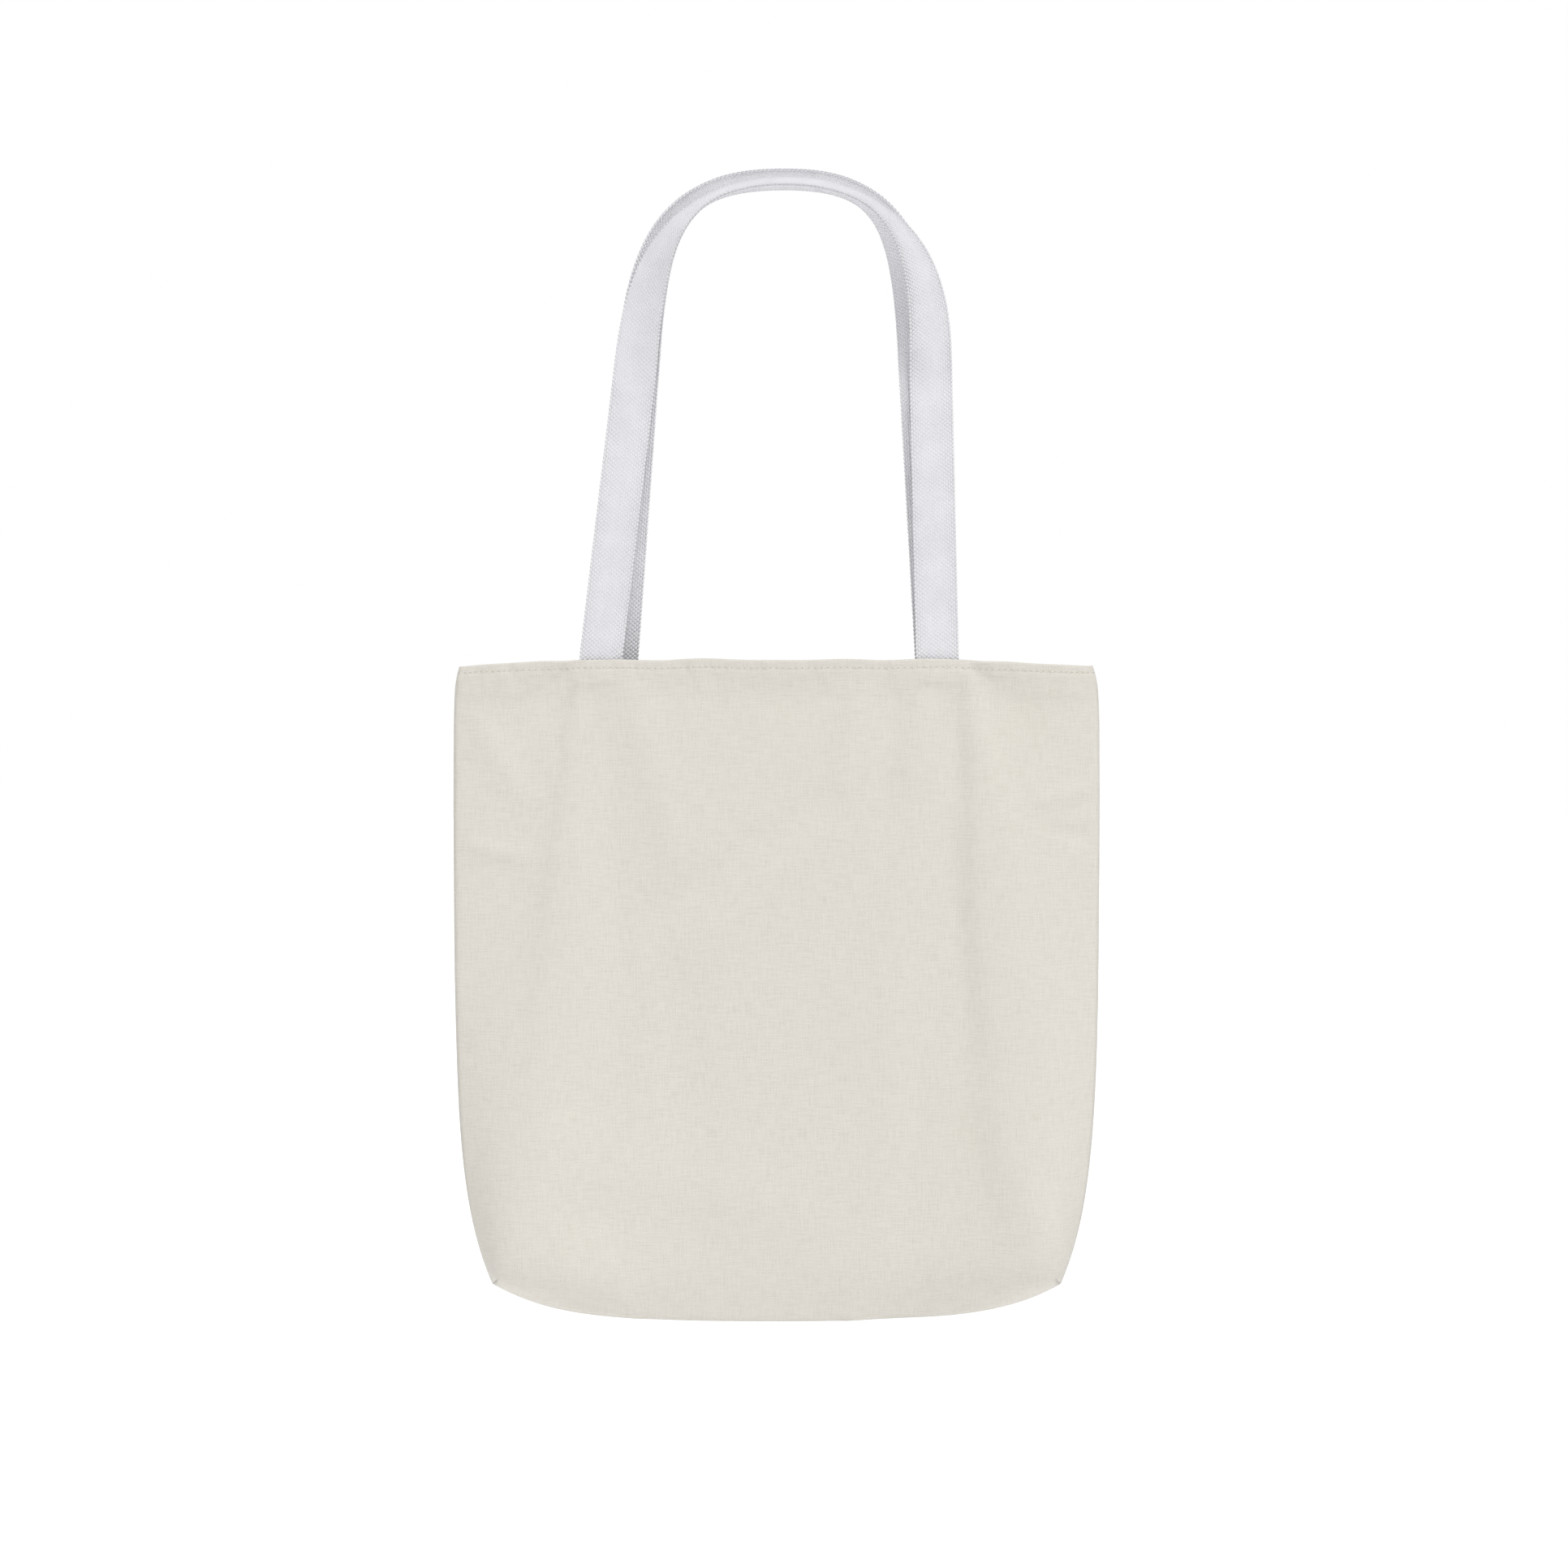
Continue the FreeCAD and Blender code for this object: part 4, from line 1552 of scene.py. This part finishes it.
@dataclass
class ToteBag:
    """Builds the bag's pieces in order and ties each to the frame."""

    finish: Finishes
    front_feet: tuple[float, float] = (-107 * MM, 98 * MM)
    back_feet: tuple[float, float] = (-98 * MM, 98 * MM)
    made: dict[Side, Panel] = field(default_factory=dict)
    width: float = 400 * MM
    height: float = 406 * MM
    side_start: float = 3.2 * MM
    corner_start: float = 1.6 * MM
    corner_share: float = 0.62
    bend: float = 8 * MM

    def __post_init__(self) -> None:
        """Take the hem's height from the frame; the width and height are given."""
        low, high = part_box("front_panel")
        self.form = BagForm(half_width=self.width / 2, height=self.height, mouth_z=high[2])
        self.hem_z = high[2]
        LOG.info("panel box %.1f mm wide in the frame", (high[0] - low[0]) / MM)

    def panels(self) -> None:
        """Hang the cloth and make both panels and their hem stitches."""
        feet = {Side.FRONT: self.front_feet, Side.BACK: self.back_feet}
        grids, columns, rows = Drape(self.form, feet).run()
        folds = {Side.FRONT: FRONT_FOLDS, Side.BACK: BACK_FOLDS}
        for side in Side:
            word = side.name.lower()
            panel = Panel(side, self.form, folds[side], feet[side])
            cloth = panel.build(grids[side], columns, rows, self.finish)
            self.made[side] = panel
            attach(cloth, "bag")
            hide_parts(f"{word}_panel", f"{word}_hem_turn")
            stitches = self.hem_stitches(panel, word)
            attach(stitches, "bag")
            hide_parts(f"{word}_hem_stitching")
            LOG.info("made %s panel and its hem stitches", word)

    def hem_stitches(self, panel: Panel, word: str) -> bpy.types.Object:
        """Set the one row of top stitching along the hem.

        Args:
            panel: the finished panel.
            word: front or back, for the piece's name.

        Returns:
            The piece.
        """
        form = self.form
        count = int(2 * (form.half_width - 5 * MM) / form.stitch)
        across = (np.arange(count) - count / 2 + 0.5) * form.stitch
        places, along = panel.outside(across, -form.hem_row)
        beads = Beads(f"{word}_hem_stitches", 2.9 * MM, 0.55 * MM, 0.5 * MM, 0.06, 1)
        out = np.array([0, float(panel.side.value), 0])
        beads.add(places + out * (0.02 * MM), along, out)
        return beads.build(self.finish.sewing)

    def seams(self) -> None:
        """The turned-in edges inside the side, bottom and corner seams."""
        form = self.form
        up = np.array([0, 0, form.mouth_z])
        columns, rows = self.made[Side.FRONT].places()
        edge = (self.made[Side.FRONT].inside + self.made[Side.BACK].inside) / 2 + up
        side_rows = (rows > form.corner + 10 * MM) & (rows < form.height - 2.5 * MM)
        lines = {}
        for seam, column, sign in ((Seam.LEFT_SIDE, 0, 1), (Seam.RIGHT_SIDE, -1, -1)):
            line = even_line(edge[side_rows, column], 3 * MM)
            inward = np.array([float(sign), 0, 0])
            lines[seam] = (line + inward * self.side_start, inward, np.array([0, 1.0, 0]))
        wide = np.abs(columns) < form.half_width - form.corner - 9 * MM
        line = even_line(edge[0, wide], 3 * MM)
        inward = np.array([0, 0, 1.0])
        lines[Seam.BOTTOM] = (line + inward * self.side_start, inward, np.array([0, 1.0, 0]))
        low = np.searchsorted(rows, form.corner - 1e-6)
        reach = int(self.corner_share * low)
        for seam, way in ((Seam.LEFT_CORNER, 1), (Seam.RIGHT_CORNER, -1)):
            front, back = (self.made[side].inside[low, ::way] + up for side in Side)
            line = even_line(np.vstack([front[reach:0:-1], back[1 : reach + 1]]), 3 * MM)
            inward = unit(np.array([float(way), 0, 1.0]))
            face = unit(np.array([-1.0 * way, 0, 1.0]))
            lines[seam] = (line + inward * self.corner_start, inward, face)
        for seam, (line, inward, face) in lines.items():
            pieces = SeamEdges(seam, line, inward, face, form).build(self.finish)
            nodes = ("seam_allowance", "overlock_thread", "seam_stitching")
            slots = ("canvas", "overlock_thread", "sewing_thread")
            for piece, node, slot in zip(pieces, nodes, slots):
                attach(piece, "bag")
                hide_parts(f"{seam.value}_{node}")
            LOG.info("made %s seam", seam.value)

    def handles(self) -> None:
        """Both handles, each bending at the hem where it folds over."""
        specs = (
            ("front_handle", Side.FRONT, self.front_feet, (22 * MM, 4 * MM), 0.0, 0.7),
            ("rear_handle", Side.BACK, self.back_feet, (14 * MM, 11 * MM), 5 * MM, 0.84),
        )
        for name, side, feet, leans, lift, spring in specs:
            handle = Handle(name, side, self.form, feet, leans, lift, spring)
            strap = handle.core(self.finish)
            pieces = [strap, handle.weave(True, self.finish), handle.weave(False, self.finish)]
            word = name.split("_")[0]
            for piece in pieces:
                y = side.value * 7 * MM
                start, end = (0, y, self.hem_z), (0, y, self.hem_z + self.bend)
                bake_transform(piece, "bag", name, start=start, end=end)
            tails = [f"{word}_{label}_handle_tail" for label in ("left", "right")]
            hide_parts(name, *tails)
            for label, stitches in handle.tail_stitches(self.finish).items():
                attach(stitches, "bag")
                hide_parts(f"{word}_{label}_tail_stitching")
            LOG.info("made %s", name)


# --- studio -------------------------------------------------------------------------------


@dataclass
class Studio:
    """A pale floor, a white room and soft light from the upper right."""

    middle: tuple[float, float, float]
    floor_z: float
    room_light: float = 0.51
    floor_reach: float = 60.0
    view_span: float = 0.960
    lens: float = 85.0
    sensor: float = 36.0

    def camera(self) -> None:
        """Look square at the front of the bag."""
        data = bpy.data.cameras.new("camera")
        data.lens = self.lens
        data.sensor_width = self.sensor
        away = self.view_span * self.lens / self.sensor
        camera = bpy.data.objects.new("camera", data)
        camera.location = (self.middle[0], self.middle[1] - away, self.middle[2])
        camera.rotation_euler = (math.pi / 2, 0, 0)
        bpy.context.scene.collection.objects.link(camera)
        bpy.context.scene.camera = camera

    def floor(self) -> None:
        """A wide matt white floor well below the hanging bag."""
        corners = np.array([(-1, -1, 0), (1, -1, 0), (1, 1, 0), (-1, 1, 0)], float) * self.floor_reach
        corners[:, 2] = self.floor_z
        ground = mesh_object("studio_floor", corners, [(0, 1, 2, 3)])
        material = bpy.data.materials.new("matt_white_studio_floor")
        material.use_nodes = True
        shader = material.node_tree.nodes["Principled BSDF"]
        shader.inputs["Base Color"].default_value = linear("FFFFFF")
        shader.inputs["Roughness"].default_value = 1.0
        shader.inputs["Specular IOR Level"].default_value = 0.0
        ground.data.materials.append(material)
        ground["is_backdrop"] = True

    def light(self) -> None:
        """A white room, one broad key light and a weak one from behind."""
        world = bpy.data.worlds.new("white_room")
        world.use_nodes = True
        tree = world.node_tree
        tree.nodes.clear()
        room = add_node(tree, "ShaderNodeBackground", {"Color": (1, 1, 1, 1), "Strength": self.room_light})
        seen = add_node(tree, "ShaderNodeBackground", {"Color": (1, 1, 1, 1), "Strength": 1.0})
        ray = add_node(tree, "ShaderNodeLightPath")
        mixed = add_node(
            tree,
            "ShaderNodeMixShader",
            {0: ray.outputs["Is Camera Ray"], 1: room.outputs[0], 2: seen.outputs[0]},
        )
        add_node(tree, "ShaderNodeOutputWorld", {"Surface": mixed.outputs[0]})
        bpy.context.scene.world = world
        lamps = (("key_light", (0.42, -1.0, 1.88), 45, 1.75), ("back_light", (-0.6, 1.0, 0.9), 40, 0.75))
        for name, offset, spread, power in lamps:
            data = bpy.data.lights.new(name, "SUN")
            data.angle = math.radians(spread)
            data.energy = power
            lamp = bpy.data.objects.new(name, data)
            lamp.location = Vector(self.middle) + Vector(offset)
            lamp.rotation_euler = Vector(offset).to_track_quat("Z", "Y").to_euler()
            bpy.context.scene.collection.objects.link(lamp)
        settings = bpy.context.scene.view_settings
        settings.view_transform = "Standard"


def make_finishes() -> Finishes:
    """Make every finish once.

    Returns:
        The bag's materials.
    """
    # Filament polyester is cooler and brighter than the cotton, with a soft sheen on each knuckle.
    # Spun sewing thread is matt and close to the canvas; looped overlock thread is a little fuzzier.
    return Finishes(
        canvas=Canvas().build(-BagForm.hem_row, BagForm.stitch),
        webbing=Thread("white_polyester_webbing_yarn", "E6E6E9", "DDDDE1").build(),
        # The core is a darker copy of the knuckle yarn: painted shade in the gaps between the knuckles.
        shaded_webbing_core=Thread("white_polyester_webbing_core", "E0E0E4", "D6D6DB").build(),
        sewing=Thread("spun_polyester_sewing_thread", "E6E2D7", "D9D4C8", 0.2).build(),
        overlock=Thread("looped_overlock_thread", "EBE9E3", "D8D5CC", 0.2).build(),
    )


def main() -> None:
    """Load the frame, build the bag round it and light it."""
    logging.basicConfig(level=logging.INFO, format="%(name)s: %(message)s")
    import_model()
    frame_box = [list(map(float, corner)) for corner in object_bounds()]
    hem_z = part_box("front_panel")[1][2]
    studio = Studio(middle=(VIEW_X, 0.0, hem_z - VIEW_DROP), floor_z=frame_box[0][2] - FLOOR_DROP)
    studio.camera()
    bag = ToteBag(make_finishes())
    bag.panels()
    bag.seams()
    bag.handles()
    studio.floor()
    studio.light()


if __name__ == "__main__":
    main()
